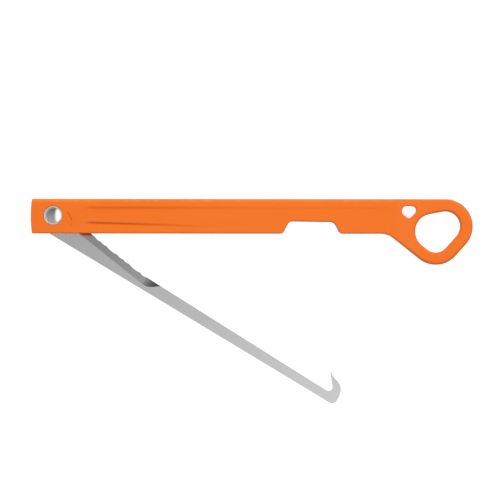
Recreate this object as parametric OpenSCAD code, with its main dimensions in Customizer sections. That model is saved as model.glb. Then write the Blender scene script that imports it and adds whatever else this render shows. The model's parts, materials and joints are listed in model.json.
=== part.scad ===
// Folding hook for threading ice anchors: a slotted moulded handle with a clip-in eye, and a
// serrated steel hook blade that turns on a hollow rivet. It lies on its back with the blade
// part-way open. The origin is the rivet's centre, +X runs along the handle to the eye, +Y points
// away from the open blade and +Z out of the front face.

/* [Handle] */
// Rivet centre to the long top edge
body_above = 9.1; // [8.8:0.1:11]
// Rivet centre to the long bottom edge
body_below = 9.7; // [9.4:0.1:11]
// Thickness of the handle's body
body_t = 10.5; // [9:0.1:13]
// Height of the web that closes the slot along the top edge
web_h = 3.1; // [2.6:0.1:3.6]
// Rounding of the two long top edges
top_round = 2.2; // [1:0.1:2.5]
// Rounding of the two long bottom edges
bottom_round = 0.8; // [0.3:0.1:1.2]
// How far the nose's end face swells past its corners
nose_swell = 0.6; // [0.3:0.1:1.5]
// Material left beyond the swing of the blade's heel
nose_cover = 0.1; // [0.1:0.1:2]
// Depth of the long hollow in the front and back faces
panel_depth = 0.3; // [0.1:0.05:0.5]
// Rivet centre to the near end of the hollow
panel_start = 18; // [16:0.5:25]
// Length of the hollow's top edge
panel_l = 105; // [80:1:112]
// Height of the hollow's top edge above the rivet centre
panel_top = 4.3; // [3:0.1:5]
// Length of the slope that starts the top edge
panel_lead = 3; // [1:0.5:6]
// Height of that slope
panel_lead_h = 1.5; // [0.5:0.1:2.5]
// Height of the hollow's far end
panel_end_h = 1; // [0.5:0.1:2]
// Depth of the hollow's bottom edge below the rivet centre, at its near end
panel_drop = 3.3; // [2:0.1:4]
// How much further the bottom edge drops
panel_fall = 2.3; // [1:0.1:3]
// Length over which it drops
panel_fall_l = 76; // [60:1:90]

/* [Finger notch] */
// Slot end back to the notch's far corner
notch_back = 30.3; // [26:0.1:40]
// Length of the notch at the bottom edge
notch_l = 31.2; // [25:0.1:45]
// Height of the notch's near end above the bottom edge
notch_h = 6.7; // [4:0.1:7.5]
// How much lower the notch's far end is
notch_fall = 0.4; // [0:0.1:1.5]
// Steepness of the notch's two flanks
notch_flank = 62; // [45:1:80]
// Rounding where the notch's flanks leave the bottom edge
notch_round = 2.2; // [0.5:0.1:3]
// Rounding at the notch's two inner corners
notch_top_round = 3.1; // [0.5:0.1:4]

/* [Eye] */
// Slot end to the centre of the eye's upper lobe
eye_set = 27; // [25:0.5:40]
// Outer radius of the upper lobe
lobe_r = 14.7; // [13:0.1:18]
// Outer radius of the lower lobe
low_lobe_r = 14.2; // [12:0.1:17]
// How far the lower lobe's centre is back from the upper one's
low_lobe_back = 5.3; // [3:0.1:8]
// How far the lower lobe's centre is below the upper one's
low_lobe_drop = 6.7; // [4:0.1:10]
// Width of the ring round the eye
eye_rim = 6.6; // [5:0.1:7.5]
// Radius of the eye hole's third corner, on the handle side
eye_back_r = 9.5; // [7:0.1:10]
// How far that corner's centre is back from the upper lobe's
eye_back = 7.1; // [5:0.1:8]
// How far that corner's centre is below the upper lobe's
eye_back_drop = 2.8; // [1:0.1:5]
// Thickness of the eye
eye_t = 6; // [4:0.1:8]
// Length over which the body thins to the eye
ramp_l = 13; // [6:0.5:16]
// Steepness of the flank under the eye's neck
neck_angle = 39; // [30:1:50]
// Radius of the hollow corner where that flank leaves the bottom edge
neck_round = 10.5; // [5:0.5:12]

/* [Cord hole] */
// Slot end to the centre of the cord hole's near corner
cord_set = 5.8; // [5:0.1:7]
// Radius of the near corner
cord_r = 2.8; // [2.2:0.1:3]
// Radius of the far corner
cord_far_r = 2.4; // [1.8:0.1:2.8]
// Radius of the lower corner
cord_low_r = 2.3; // [1.5:0.1:2.6]
// Height of the near corner's centre above the rivet centre
cord_up = 2.6; // [1.5:0.1:3]
// Near corner's centre to the far corner's, along the handle
cord_far = 3; // [1.5:0.1:3.5]
// How much higher the far corner's centre is
cord_far_up = 0.4; // [0:0.1:0.8]
// Near corner's centre to the lower corner's, along the handle
cord_low = 1.2; // [0:0.1:2]
// How much lower the lower corner's centre is
cord_low_drop = 1.5; // [1:0.1:3]

/* [Hook blade] */
// Rivet centre to the end of the hook
hook_reach = 183.7; // [160:0.1:210]
// Thickness of the blade
blade_t = 2; // [1.5:0.1:3]
// How far the blade is swung open from the handle
open_angle = 31.05; // [0:0.05:90]
// Rivet centre to the start of the cutting edge
edge_start = 17.6; // [17:0.1:20]
// Height of the cutting edge above the rivet centre line at its start
edge_up = 2.5; // [1.5:0.1:3]
// Fall of the cutting edge over its length
edge_fall = 5.3; // [4:0.1:6]
// Plain length of edge ahead of the first tooth
edge_plain = 7.7; // [5:0.1:9]
// Pitch of the small teeth
tooth_pitch = 3.9; // [3:0.1:4.5]
// Depth of the small hollows between teeth
tooth_depth = 0.38; // [0.2:0.02:0.5]
// Depth of the hollows that are two teeth long
wide_depth = 0.5; // [0.3:0.02:0.7]
// Angle of the ground bevel on each face
bevel_angle = 13.5; // [10:0.5:14]
// Width of the bevel at the start of the edge
bevel_w = 3.2; // [2.5:0.1:4]
// Width of the bevel at the end of the edge
bevel_end_w = 4; // [3.5:0.1:4.2]
// Radius of the grinding wheel where the bevel runs out into the arm
runout_r = 40; // [20:1:60]
// Radius of the grinding wheel where the bevel starts behind the edge
plunge_r = 6; // [4:0.5:8]
// Height of the arm where it leaves the cutting edge
arm_h = 7; // [6:0.1:7.5]
// Height of the arm where it meets the hook
arm_end_h = 4.9; // [4:0.1:5.5]
// Rounding of the tang's heel corner
heel_round = 2.5; // [2:0.1:3]
// Rivet centre to the end of the flat that meets the slot's roof
kick_l = 11.5; // [8:0.1:14]

/* [Hook end] */
// Half width of the oval that the hook's bend follows
bend_w = 5.95; // [5.5:0.05:6.4]
// Half height of that oval
bend_h = 7.65; // [7:0.05:8]
// How far the oval's centre is below the rivet centre line
bend_drop = 5; // [4.6:0.1:5.5]
// Angle round the oval at which the bend starts
bend_from = 80; // [65:1:90]
// Radius of the hook's throat
throat_r = 2.15; // [1.5:0.05:2.4]
// Thickness of the hook behind the throat
stem_w = 5.5; // [5:0.1:7]
// Height of the hook's tip above the rivet centre line
tip_up = 4.95; // [4.5:0.05:5.4]
// How far the tip lies back from the end of the hook
tip_back = 10.5; // [10:0.1:12]
// Rounding of the tip
tip_round = 0.35; // [0.3:0.05:0.6]
// How far the barb's outer foot lies back from the end of the hook
foot_back = 8.2; // [7:0.1:9]
// Height of that foot above the rivet centre line
foot_up = 3.6; // [3:0.05:3.8]
// Rounding of the hook's lower outside corner
corner_round = 2.9; // [1:0.1:3.5]

/* [Pivot] */
// Radius of the bore through the hollow rivet
bore_r = 4.1; // [3.5:0.1:4.2]
// Wall of the hollow rivet
rivet_wall = 0.5; // [0.4:0.05:0.7]
// How far the rivet's rolled lips reach beyond its tube
lip_w = 0.45; // [0.3:0.05:0.8]
// Thickness of the rolled lips
lip_t = 0.5; // [0.4:0.05:0.8]
// Rounding of the lips' outer edges
lip_round = 0.35; // [0.1:0.05:0.4]
// Outer radius of the backing ring under the rear lip
ring_r = 6.3; // [5.6:0.1:7]
// Thickness of the backing ring
ring_t = 0.5; // [0.3:0.05:0.8]
// Outer radius of the two thin washers beside the blade
washer_r = 7.4; // [6:0.1:8]
// Thickness of each washer
washer_t = 0.3; // [0.2:0.05:0.5]

/* [Fits] */
// Radial play of the blade on the rivet
run_play = 0.05; // [0.02:0.01:0.08]
// Gap between the blade and each washer
side_gap = 0.05; // [0.02:0.01:0.1]
// Radial gap round the rivet and the rings in the handle
seat_gap = 0.03; // [0.02:0.01:0.1]
// How far the rivet's lips stay below the handle's faces
flush_gap = 0.05; // [0:0.01:0.2]
// Gap left at the stops that end the blade's travel
stop_gap = 0.05; // [0.02:0.01:0.1]
// How far the closed blade's spine stays inside the bottom edge
spine_inset = 0.05; // [0.02:0.01:0.5]
// How far the round tang stays inside the top edge
tang_inset = 0.35; // [0.2:0.05:1]
// Room between the end of the hook and the end of the slot
tip_room = 2.3; // [0.5:0.1:3]

/* [Hidden] */
$fn = 96;
arc_step = 7.5;
bend_step = 5;
over = 30;

// What the slot and the two stops leave for the blade
slot_w = blade_t + 2 * (washer_t + side_gap);
slot_roof = body_above - web_h;
slot_end = hook_reach + tip_room;
spine = -(body_below - spine_inset);
tang_r = body_above - tang_inset;
web_x = tang_r + stop_gap;
kick_up = slot_roof - stop_gap;
heel_swing = norm([tang_r - heel_round, spine + heel_round]) + heel_round;
nose_x = -(heel_swing + nose_cover);

// The eye's two outer lobes, and the neck's flank from its foot to where it touches the lower one
lobe_c = [slot_end + eye_set, body_above - lobe_r];
low_lobe_c = lobe_c - [low_lobe_back, low_lobe_drop];
neck_normal = 270 - neck_angle;
neck_touch = low_lobe_c + low_lobe_r * [cos(neck_normal), sin(neck_normal)];
neck_foot = [neck_touch[0] - (-body_below - neck_touch[1]) / tan(neck_angle), -body_below];
neck_start = neck_foot[0] - neck_round * tan(neck_angle / 2);

// The cutting edge: its line, its hollows counted in tooth pitches, and where the arm begins
hollows = [1, 1, 2, 1, 1, 2, 1];
edge_l = edge_plain + tooth_pitch * total(hollows);
edge_a = [edge_start, edge_up];
edge_b = [edge_start + edge_l, edge_up - edge_fall];
edge_dir = (edge_b - edge_a) / norm(edge_b - edge_a);
arm_root = [edge_b[0], spine + arm_h];
bevel_a = edge_a - [0, bevel_w];
bevel_b = edge_b - [0, bevel_end_w];
bevel_lead = 2;

// The hook's bend and throat
throat_c = [hook_reach - stem_w - throat_r, spine + arm_end_h + throat_r];
bend_c = [hook_reach - bend_w, -bend_drop];
tip_c = [hook_reach - tip_back, tip_up - tip_round];
barb_foot = [hook_reach - foot_back, foot_up];

// The rivet
tube_r = bore_r + rivet_wall;
lip_r = tube_r + lip_w;
lip_top = body_t / 2 - flush_gap;

function total(list, n = undef) =
  let (m = is_undef(n) ? len(list) : n) m <= 0 ? 0 : list[m - 1] + total(list, m - 1);

// Points on an arc from angle a0 to angle a1
function arc(c, r, a0, a1) =
  let (n = max(2, ceil(abs(a1 - a0) / arc_step)))
  [for (i = [0:n]) c + r * [cos(a0 + (a1 - a0) * i / n), sin(a0 + (a1 - a0) * i / n)]];

function turn(a) = a > 180 ? a - 360 : a < -180 ? a + 360 : a;

// The corner at b between a and c, rounded by an arc of radius r
function corner(a, b, c, r) =
  let (
    u = (a - b) / norm(a - b),
    w = (c - b) / norm(c - b),
    half = acos(u * w) / 2,
    m = b + (u + w) / norm(u + w) * r / sin(half),
    p = b + u * r / tan(half) - m,
    q = b + w * r / tan(half) - m,
    a0 = atan2(p[1], p[0])
  )
  arc(m, r, a0, a0 + turn(atan2(q[1], q[0]) - a0));

// Where a line touches two circles, as an angle round them both: on the right-hand side of the way
// from the first to the second where side is 1, and on the left where it is -1. A negative radius
// puts the line on the second circle's other side.
function touch_angle(c0, r0, c1, r1, side = 1) =
  atan2(c1[1] - c0[1], c1[0] - c0[0]) - side * acos((r0 - r1) / norm(c1 - c0));

// The notch, from its near corner to its far one, as corners to round
function notch_corners() =
  let (
    far = slot_end - notch_back,
    near = far - notch_l,
    y0 = -body_below,
    y1 = y0 + notch_h,
    y2 = y1 - notch_fall
  )
  [
    [near, y0], [near + notch_h / tan(notch_flank), y1],
    [far - (notch_h - notch_fall) / tan(notch_flank), y2], [far, y0]
  ];

function notch_points() =
  let (k = notch_corners(), near = k[0] - [over, 0], far = k[3] + [over, 0])
  concat(
    corner(near, k[0], k[1], notch_round), corner(k[0], k[1], k[2], notch_top_round),
    corner(k[1], k[2], k[3], notch_top_round), corner(k[2], k[3], far, notch_round)
  );

// The handle seen from the front: nose, bottom edge, notch, neck, two lobes and top edge
function plan_points() =
  let (
    nose_r = (pow((body_above + body_below) / 2, 2) + pow(nose_swell, 2)) / (2 * nose_swell),
    nose_y = (body_above - body_below) / 2,
    nose_half = asin((body_above + body_below) / 2 / nose_r),
    side = touch_angle(low_lobe_c, low_lobe_r, lobe_c, lobe_r)
  )
  concat(
    arc([nose_x + nose_r, nose_y], nose_r, 180 - nose_half, 180 + nose_half),
    notch_points(),
    corner(neck_foot - [over, 0], neck_foot, neck_touch, neck_round),
    arc(low_lobe_c, low_lobe_r, neck_normal - 360, side),
    arc(lobe_c, lobe_r, side, 90)
  );

// The body's side view: full thickness to the slot's end, then an even ramp down to the eye
module thickness_envelope() {
  near = nose_x - over;
  far = lobe_c[0] + lobe_r + over;
  rotate([90, 0, 0])
    linear_extrude(4 * over, center = true)
      polygon([
        [near, -body_t / 2], [slot_end, -body_t / 2], [slot_end + ramp_l, -eye_t / 2],
        [far, -eye_t / 2], [far, eye_t / 2], [slot_end + ramp_l, eye_t / 2],
        [slot_end, body_t / 2], [near, body_t / 2]
      ]);
}

// What a round of radius r takes off a long edge at height y, on the side of sign s
module edge_cut(y, s, r, from, to) {
  for (face = [-1, 1])
    difference() {
      translate([from, y - (s > 0 ? r : over), face > 0 ? body_t / 2 - r : -body_t / 2 - over])
        cube([to - from, r + over, r + over]);
      translate([from, y - s * r, face * (body_t / 2 - r)])
        rotate([0, 90, 0]) cylinder(r = r, h = to - from);
    }
}

// The slot, open along the bottom edge and at the nose
module slot_cut() {
  linear_extrude(slot_w, center = true)
    polygon([
      [nose_x - over, -over], [slot_end, -over], [slot_end, slot_roof],
      [web_x, slot_roof], [web_x, over], [nose_x - over, over]
    ]);
}

module post(c, r) {
  translate([c[0], c[1], 0]) cylinder(r = r, h = over, center = true);
}

module eye_cut() {
  hull() {
    post(lobe_c, lobe_r - eye_rim);
    post(low_lobe_c, low_lobe_r - eye_rim);
    post(lobe_c - [eye_back, eye_back_drop], eye_back_r);
  }
}

module cord_cut() {
  near = [slot_end + cord_set, cord_up];
  hull() {
    post(near, cord_r);
    post(near + [cord_far, cord_far_up], cord_far_r);
    post(near + [cord_low, -cord_low_drop], cord_low_r);
  }
}

// The long shallow hollow, pointed at its near end
module panel_cut() {
  far = panel_start + panel_lead + panel_l;
  for (face = [0, 1])
    mirror([0, 0, face])
      translate([0, 0, body_t / 2 - panel_depth])
        linear_extrude(over)
          polygon([
            [panel_start, panel_top - panel_lead_h], [panel_start + panel_lead, panel_top],
            [far, panel_top], [far, panel_top - panel_end_h],
            [panel_start + panel_fall_l, -panel_drop - panel_fall], [panel_start, -panel_drop]
          ]);
}

module rivet_seats() {
  ring_floor = lip_top - lip_t - ring_t;
  cylinder(r = tube_r + seat_gap, h = body_t + over, center = true);
  translate([0, 0, lip_top - lip_t]) cylinder(r = lip_r + seat_gap, h = over);
  translate([0, 0, -ring_floor - over]) cylinder(r = ring_r + seat_gap, h = over);
}

module handle() {
  color([0.93, 0.4, 0.07])
    difference() {
      intersection() {
        linear_extrude(body_t, center = true) polygon(plan_points());
        thickness_envelope();
      }
      edge_cut(body_above, 1, top_round, nose_x - over, slot_end + ramp_l);
      edge_cut(-body_below, -1, bottom_round, nose_x - over, neck_start);
      slot_cut();
      eye_cut();
      cord_cut();
      panel_cut();
      rivet_seats();
    }
}

// The blade's outline in its own axes: u along the arm, v towards the cutting edge
function blade_points() =
  let (
    kick_start = asin(kick_up / tang_r),
    arm = touch_angle(arm_root, 0, throat_c, throat_r),
    inner = touch_angle(throat_c, throat_r, tip_c, -tip_round),
    outer = touch_angle(tip_c, tip_round, barb_foot, 0, -1)
  )
  concat(
    arc([0, 0], tang_r, 180, kick_start),
    [[kick_l, kick_up], edge_a, edge_b, arm_root],
    arc(throat_c, throat_r, arm, inner),
    arc(tip_c, tip_round, inner + 180, outer),
    [barb_foot],
    [for (a = [bend_from:-bend_step:0]) bend_c + [bend_w * cos(a), bend_h * sin(a)]],
    corner([hook_reach, 0], [hook_reach, spine], [0, spine], corner_round),
    corner([0, spine], [-tang_r, spine], [-tang_r, 0], heel_round)
  );

// The hollows between teeth: round cuts whose ends meet in the teeth
module tooth_cuts() {
  normal = [-edge_dir[1], edge_dir[0]];
  first = edge_a + edge_dir * edge_plain;
  for (i = [0:len(hollows) - 1]) {
    chord = hollows[i] * tooth_pitch;
    depth = hollows[i] > 1 ? wide_depth : tooth_depth;
    r = (chord * chord / 4 + depth * depth) / (2 * depth);
    middle = first + edge_dir * (tooth_pitch * total(hollows, i) + chord / 2);
    post(middle + normal * (r - depth), r);
  }
}

// One face's bevel: a tilted flat, with the grinding wheel's round at both ends
module bevel_cut() {
  run = bevel_b - bevel_a;
  l = norm(run) + bevel_lead;
  translate([bevel_a[0], bevel_a[1], blade_t / 2])
    rotate([0, 0, atan2(run[1], run[0])])
      rotate([-bevel_angle, 0, 0])
        translate([-bevel_lead, 0, 0]) {
          cube([l, over, over]);
          translate([l, 0, runout_r]) rotate([-90, 0, 0]) cylinder(r = runout_r, h = over);
          translate([0, 0, plunge_r]) rotate([-90, 0, 0]) cylinder(r = plunge_r, h = over);
        }
}

module hook_blade() {
  color([0.68, 0.68, 0.69])
    rotate([0, 0, -open_angle])
      difference() {
        linear_extrude(blade_t, center = true) polygon(blade_points());
        cylinder(r = tube_r + run_play, h = over, center = true);
        tooth_cuts();
        bevel_cut();
        mirror([0, 0, 1]) bevel_cut();
      }
}

// Half of the rivet's section: the tube and one lip rolled outwards, on the side of sign s
function rivet_half(s) =
  [
    for (p = concat(
      [[tube_r, 0], [tube_r, lip_top - lip_t], [lip_r, lip_top - lip_t]],
      arc([lip_r - lip_round, lip_top - lip_round], lip_round, 0, 90),
      arc([tube_r, lip_top - rivet_wall], rivet_wall, 90, 180)
    )) [p[0], s * p[1]]
  ];

function reversed(list) = [for (i = [len(list) - 1:-1:0]) list[i]];

module pivot_rivet() {
  color([0.75, 0.75, 0.76])
    rotate_extrude()
      polygon(concat(rivet_half(1), reversed(rivet_half(-1))));
}

module flat_ring(inner, outer, from, to) {
  translate([0, 0, from])
    difference() {
      cylinder(r = outer, h = to - from);
      translate([0, 0, -over / 2]) cylinder(r = inner, h = over);
    }
}

module rivet_backing_ring() {
  color([0.7, 0.7, 0.72])
    flat_ring(tube_r + seat_gap, ring_r, -(lip_top - lip_t), -(lip_top - lip_t - ring_t));
}

module side_washer() {
  color([0.85, 0.85, 0.83])
    flat_ring(tube_r + seat_gap, washer_r, slot_w / 2 - washer_t, slot_w / 2);
}

module front_washer() {
  side_washer();
}

module back_washer() {
  mirror([0, 0, 1]) side_washer();
}

handle();
hook_blade();
pivot_rivet();
rivet_backing_ring();
front_washer();
back_washer();
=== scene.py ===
"""The finish of a folding hook for threading ice anchors, laid out as a Blender add-on.

It makes the moulded handle, the ground and serrated hook blade and the rivet as numpy surfaces round the
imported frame, gives every piece its material, and lights it on a plain pale floor.
"""

import json
import math
from types import SimpleNamespace

import bmesh
import bpy
import numpy as np
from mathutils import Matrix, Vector


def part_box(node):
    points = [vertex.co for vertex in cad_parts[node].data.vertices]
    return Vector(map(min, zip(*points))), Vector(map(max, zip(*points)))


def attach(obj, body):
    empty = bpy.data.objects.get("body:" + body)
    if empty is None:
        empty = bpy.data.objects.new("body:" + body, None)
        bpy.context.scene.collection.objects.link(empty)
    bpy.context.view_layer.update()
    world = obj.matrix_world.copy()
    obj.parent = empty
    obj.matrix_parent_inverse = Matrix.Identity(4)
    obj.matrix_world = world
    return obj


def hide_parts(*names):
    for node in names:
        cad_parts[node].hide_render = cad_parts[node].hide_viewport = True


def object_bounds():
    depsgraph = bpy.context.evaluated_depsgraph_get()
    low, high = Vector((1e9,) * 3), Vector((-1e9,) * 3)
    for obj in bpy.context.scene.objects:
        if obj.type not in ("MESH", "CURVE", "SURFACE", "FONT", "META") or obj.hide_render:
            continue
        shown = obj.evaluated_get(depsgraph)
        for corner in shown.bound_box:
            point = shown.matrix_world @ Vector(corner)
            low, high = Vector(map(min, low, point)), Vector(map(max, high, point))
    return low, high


bl_info = {
    "name": "Folding Ice Anchor Hook",
    "version": (1, 0, 0),
    "blender": (4, 5, 0),
    "location": "View3D > Sidebar > Ice Hook",
    "description": "Builds a folding hook for threading ice anchors, with its finishes and its stage",
    "category": "Add Mesh",
}

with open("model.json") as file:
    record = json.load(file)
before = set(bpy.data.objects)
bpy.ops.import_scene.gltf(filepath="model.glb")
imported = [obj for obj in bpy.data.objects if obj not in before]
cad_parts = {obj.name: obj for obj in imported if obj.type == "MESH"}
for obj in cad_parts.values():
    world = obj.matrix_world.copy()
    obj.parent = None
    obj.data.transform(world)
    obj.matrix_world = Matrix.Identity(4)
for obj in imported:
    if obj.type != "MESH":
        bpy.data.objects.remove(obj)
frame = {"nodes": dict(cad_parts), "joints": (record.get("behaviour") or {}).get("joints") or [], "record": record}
CAD_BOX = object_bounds()
HANDLE_LOW, HANDLE_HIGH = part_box("handle")
BLADE_LOW, BLADE_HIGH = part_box("hook_blade")
RIVET_LOW, RIVET_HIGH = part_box("pivot_rivet")
RING_LOW, RING_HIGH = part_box("rivet_backing_ring")
WASHER_LOW, WASHER_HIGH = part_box("front_washer")
FOLD = frame["joints"][0]
BORE_R = frame["record"]["mounts"][0]["dims"]["r_mm"] / 1000
# Points closer than this become one, and a point closer than the second value to a surface lies on it
MERGE = 2e-7
TOUCH = 1e-6


def number(name, description, default, **extra):
    """A number that a user may change, with its unit or subtype."""
    return bpy.props.FloatProperty(name=name, description=description, default=default, **extra)


def length(name, description, default):
    """A size in metres that a user may change."""
    return number(name, description, default, min=0, unit="LENGTH", precision=5)


def angle(name, description, degrees):
    """An angle that a user may change."""
    return number(name, description, math.radians(degrees), unit="ROTATION")


def colour(name, description, default):
    """A linear colour that a user may change."""
    return bpy.props.FloatVectorProperty(
        name=name, description=description, default=default, size=3, min=0, max=1, subtype="COLOR"
    )


def share(name, description, default):
    """A number between 0 and 1 that a user may change."""
    return number(name, description, default, min=0, max=1, subtype="FACTOR")


def power(name, description, default):
    """A light's power in watts."""
    return number(name, description, default, min=0, unit="POWER")


class HandleSizes(bpy.types.PropertyGroup):
    """Sizes of the moulded handle."""

    body_below: length("Below pivot", "Rivet centre to the long bottom edge", 0.0097)
    nose_swell: length("Nose swell", "How far the nose swells past its corners", 0.0006)
    nose_round: length("Nose rounding", "Rounding of the nose's edges", 0.0009)
    top_round: length("Top rounding", "Rounding of the two long top edges", 0.0022)
    edge_round: length("Edge rounding", "Rounding of the body's other outer edges", 0.0008)
    eye_round: length("Eye rounding", "Rounding of the eye's outer edges", 0.0019)
    hole_round: length("Eye hole rounding", "Rounding of the eye hole's edges", 0.0013)
    cord_round: length("Cord hole rounding", "Rounding of the cord hole's edges", 0.0005)
    edge_room: length("Edge room", "Least height of plain wall below a rounded edge", 0.00006)
    seat_round: length("Seat rounding", "Rounding at the mouths of the rivet's seats", 0.00022)
    slot_half: length("Slot half width", "Half the width of the blade's slot", 0.00135)
    slot_lip: length("Slot lip", "Rounding of the slot's lips", 0.0003)
    slot_roof: length("Slot roof", "Rivet centre to the roof of the slot", 0.006)
    slot_end: length("Slot end", "Rivet centre to the far end of the slot", 0.186)
    web_x: length("Web end", "Rivet centre to the web that closes the slot's top", 0.0088)
    eye_half: length("Eye half thickness", "Half the thickness of the eye", 0.003)
    ramp: length("Ramp", "Length over which the body thins to the eye", 0.013)
    ramp_ease: length("Ramp easing", "Softening at the ramp's two ends", 0.0016)
    neck_angle: angle("Neck angle", "Steepness of the flank under the eye's neck", 39)
    neck_round: length("Neck rounding", "Hollow corner where that flank starts", 0.0105)


class NotchSizes(bpy.types.PropertyGroup):
    """Sizes of the finger notch."""

    near: length("Near corner", "Rivet centre to the notch's near corner", 0.1245)
    far: length("Far corner", "Rivet centre to the notch's far corner", 0.1557)
    height: length("Height", "Height of the near end above the bottom edge", 0.0067)
    fall: length("Fall", "How much lower the far end is", 0.0004)
    flank: angle("Flank", "Steepness of the two flanks", 62)
    round: length("Rounding", "Rounding where the flanks leave the bottom edge", 0.0022)
    top_round: length("Inner rounding", "Rounding at the notch's two inner corners", 0.0031)


class EyeSizes(bpy.types.PropertyGroup):
    """Sizes of the clip-in eye and the cord hole."""

    lobe_x: length("Upper lobe", "Rivet centre to the upper lobe's centre", 0.213)
    lobe_r: length("Upper lobe radius", "Outer radius of the upper lobe", 0.0147)
    low_back: length("Lower lobe back", "How far the lower lobe's centre is back", 0.0053)
    low_drop: length("Lower lobe drop", "How far the lower lobe's centre is down", 0.0067)
    low_r: length("Lower lobe radius", "Outer radius of the lower lobe", 0.0142)
    rim: length("Rim", "Width of the ring round the eye", 0.0066)
    back_r: length("Back corner radius", "Radius of the hole's corner on the handle side", 0.0095)
    back: length("Back corner", "How far that corner's centre is back", 0.0071)
    back_drop: length("Back corner drop", "How far that corner's centre is down", 0.0028)
    cord_x: length("Cord hole", "Rivet centre to the cord hole's near corner", 0.1918)
    cord_y: length("Cord hole height", "Height of that corner's centre", 0.0026)
    cord_r: length("Near radius", "Radius of the near corner", 0.0028)
    cord_far: length("Far corner", "Near corner's centre to the far one's", 0.003)
    cord_far_up: length("Far corner up", "How much higher the far one's centre is", 0.0004)
    cord_far_r: length("Far radius", "Radius of the far corner", 0.0024)
    cord_low: length("Low corner", "Near corner's centre to the lower one's", 0.0012)
    cord_low_drop: length("Low corner drop", "How much lower its centre is", 0.0015)
    cord_low_r: length("Low radius", "Radius of the lower corner", 0.0023)


class ReliefSizes(bpy.types.PropertyGroup):
    """Sizes of the shallow relief in the handle's two faces."""

    depth: length("Panel depth", "Depth of the sunk panel along its top edge", 0.00013)
    rise: length("Panel foot depth", "Depth of the panel along its foot", 0.00008)
    start: length("Panel start", "Rivet centre to where the panel starts", 0.0155)
    lead: length("Lead-in", "Length over which the panel reaches its depth", 0.0065)
    end: length("Panel end", "Rivet centre to the panel's far end", 0.13)
    tail: length("Tail", "Length over which the panel gets shallower", 0.085)
    top: length("Panel top", "Height of the panel's top edge", 0.00488)
    step: length("Step width", "Width of the slope at that edge", 0.0012)
    foot: length("Groove height", "Pivot down to the groove at the panel's start", 0.004)
    foot_fall: length("Groove fall", "How much lower the groove is at the panel's end", 0.0033)
    groove: length("Groove depth", "Depth of the groove where it is deepest", 0.0004)
    groove_end: length("Deep groove end", "Rivet centre to where the groove gets shallower", 0.03)
    groove_fade: length("Groove fade", "Length over which it gets shallower", 0.066)
    groove_up: length("Groove's steep side", "Half width of the groove on its upper side", 0.00062)
    groove_low: length("Groove's flat side", "Half width of the groove on its lower side", 0.0024)
    shoulder: length("Shoulder", "How far the face falls from the bead to the top edge", 0.00016)
    bead: length("Bead", "Height of the bead's crest", 0.0051)
    bead_end: length("Bead end", "Rivet centre to where the bead ends", 0.186)
    crease: length("Crease", "Depth of the crease under the bead past the panel's end", 0.0001)
    mark_depth: length("Mark depth", "Depth of the fine marks beside the rivet", 0.0002)
    mark_width: length("Mark width", "Half width of those marks", 0.00028)
    mark_x: length("Mark", "Rivet centre to the slanted mark's upper end", 0.0079)
    mark_slant: length("Slant", "How far that mark leans over its height", 0.0021)
    flute_x: length("Flutes", "Rivet centre to the middle one of the three flutes at the nose", 0.0087)
    flute_gap: length("Flute gap", "Distance between the flutes", 0.0018)
    flute_width: length("Flute width", "Half width of the flutes", 0.0005)
    flute_depth: length("Flute depth", "Depth of the flutes", 0.00007)


class BladeSizes(bpy.types.PropertyGroup):
    """Sizes of the hook blade, in its own axes: u along the arm and v towards the cutting edge."""

    spine: length("Spine", "Rivet centre down to the spine", 0.00965)
    tang_r: length("Tang radius", "Radius of the round tang", 0.00875)
    bore_r: length("Bore radius", "Radius of the bore that turns on the rivet", 0.00465)
    heel_round: length("Heel rounding", "Rounding of the tang's heel", 0.0025)
    kick_up: length("Kick height", "Height of the flat that meets the slot's roof", 0.00595)
    kick_l: length("Kick length", "Rivet centre to that flat's end", 0.0115)
    edge_start: length("Edge start", "Rivet centre to the start of the cutting edge", 0.0176)
    edge_up: length("Edge height", "Height of the cutting edge at its start", 0.0025)
    edge_fall: length("Edge fall", "Fall of the cutting edge over its length", 0.0053)
    edge_plain: length("Plain edge", "Length of edge ahead of the first tooth", 0.0077)
    pitch: length("Tooth pitch", "Pitch of the small teeth", 0.0039)
    tooth_depth: length("Tooth depth", "Depth of the small hollows", 0.00038)
    wide_depth: length("Wide depth", "Depth of the hollows two teeth long", 0.0005)
    bevel: angle("Bevel", "Angle of the ground bevel on each face", 11.8)
    bevel_w: length("Bevel width", "Width of the bevel at its start", 0.0039)
    bevel_end_w: length("Bevel end width", "Width of the bevel at its end", 0.0043)
    bevel_lead: length("Bevel lead", "How far the bevel runs on past the edge's start", 0.002)
    runout_r: length("Run-out radius", "Grinding wheel's radius at the bevel's end", 0.031)
    plunge_r: length("Plunge radius", "Grinding wheel's radius at the bevel's start", 0.006)
    arm_h: length("Arm height", "Height of the arm behind the cutting edge", 0.007)
    arm_end_h: length("Arm end height", "Height of the arm at the hook", 0.0049)
    reach: length("Reach", "Rivet centre to the end of the hook", 0.1837)
    throat_r: length("Throat radius", "Radius of the hook's throat", 0.00215)
    stem: length("Stem", "Thickness of the hook behind the throat", 0.0055)
    tip_up: length("Tip height", "Height of the hook's tip", 0.00495)
    tip_back: length("Tip set-back", "How far the tip lies back from the hook's end", 0.0105)
    tip_round: length("Tip rounding", "Radius of the tip", 0.00035)
    foot_back: length("Barb foot", "How far the barb's outer foot lies back", 0.0082)
    foot_up: length("Barb foot height", "Height of that foot", 0.0036)
    bend_w: length("Bend half width", "Half width of the bend's oval", 0.00595)
    bend_h: length("Bend half height", "Half height of the bend's oval", 0.00765)
    bend_drop: length("Bend drop", "How far the oval's centre is below the pivot", 0.005)
    corner: length("Corner rounding", "Rounding of the lower outside corner", 0.0029)
    edge_break: length("Broken edges", "Rounding of the blade's tumbled edges", 0.00006)


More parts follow.
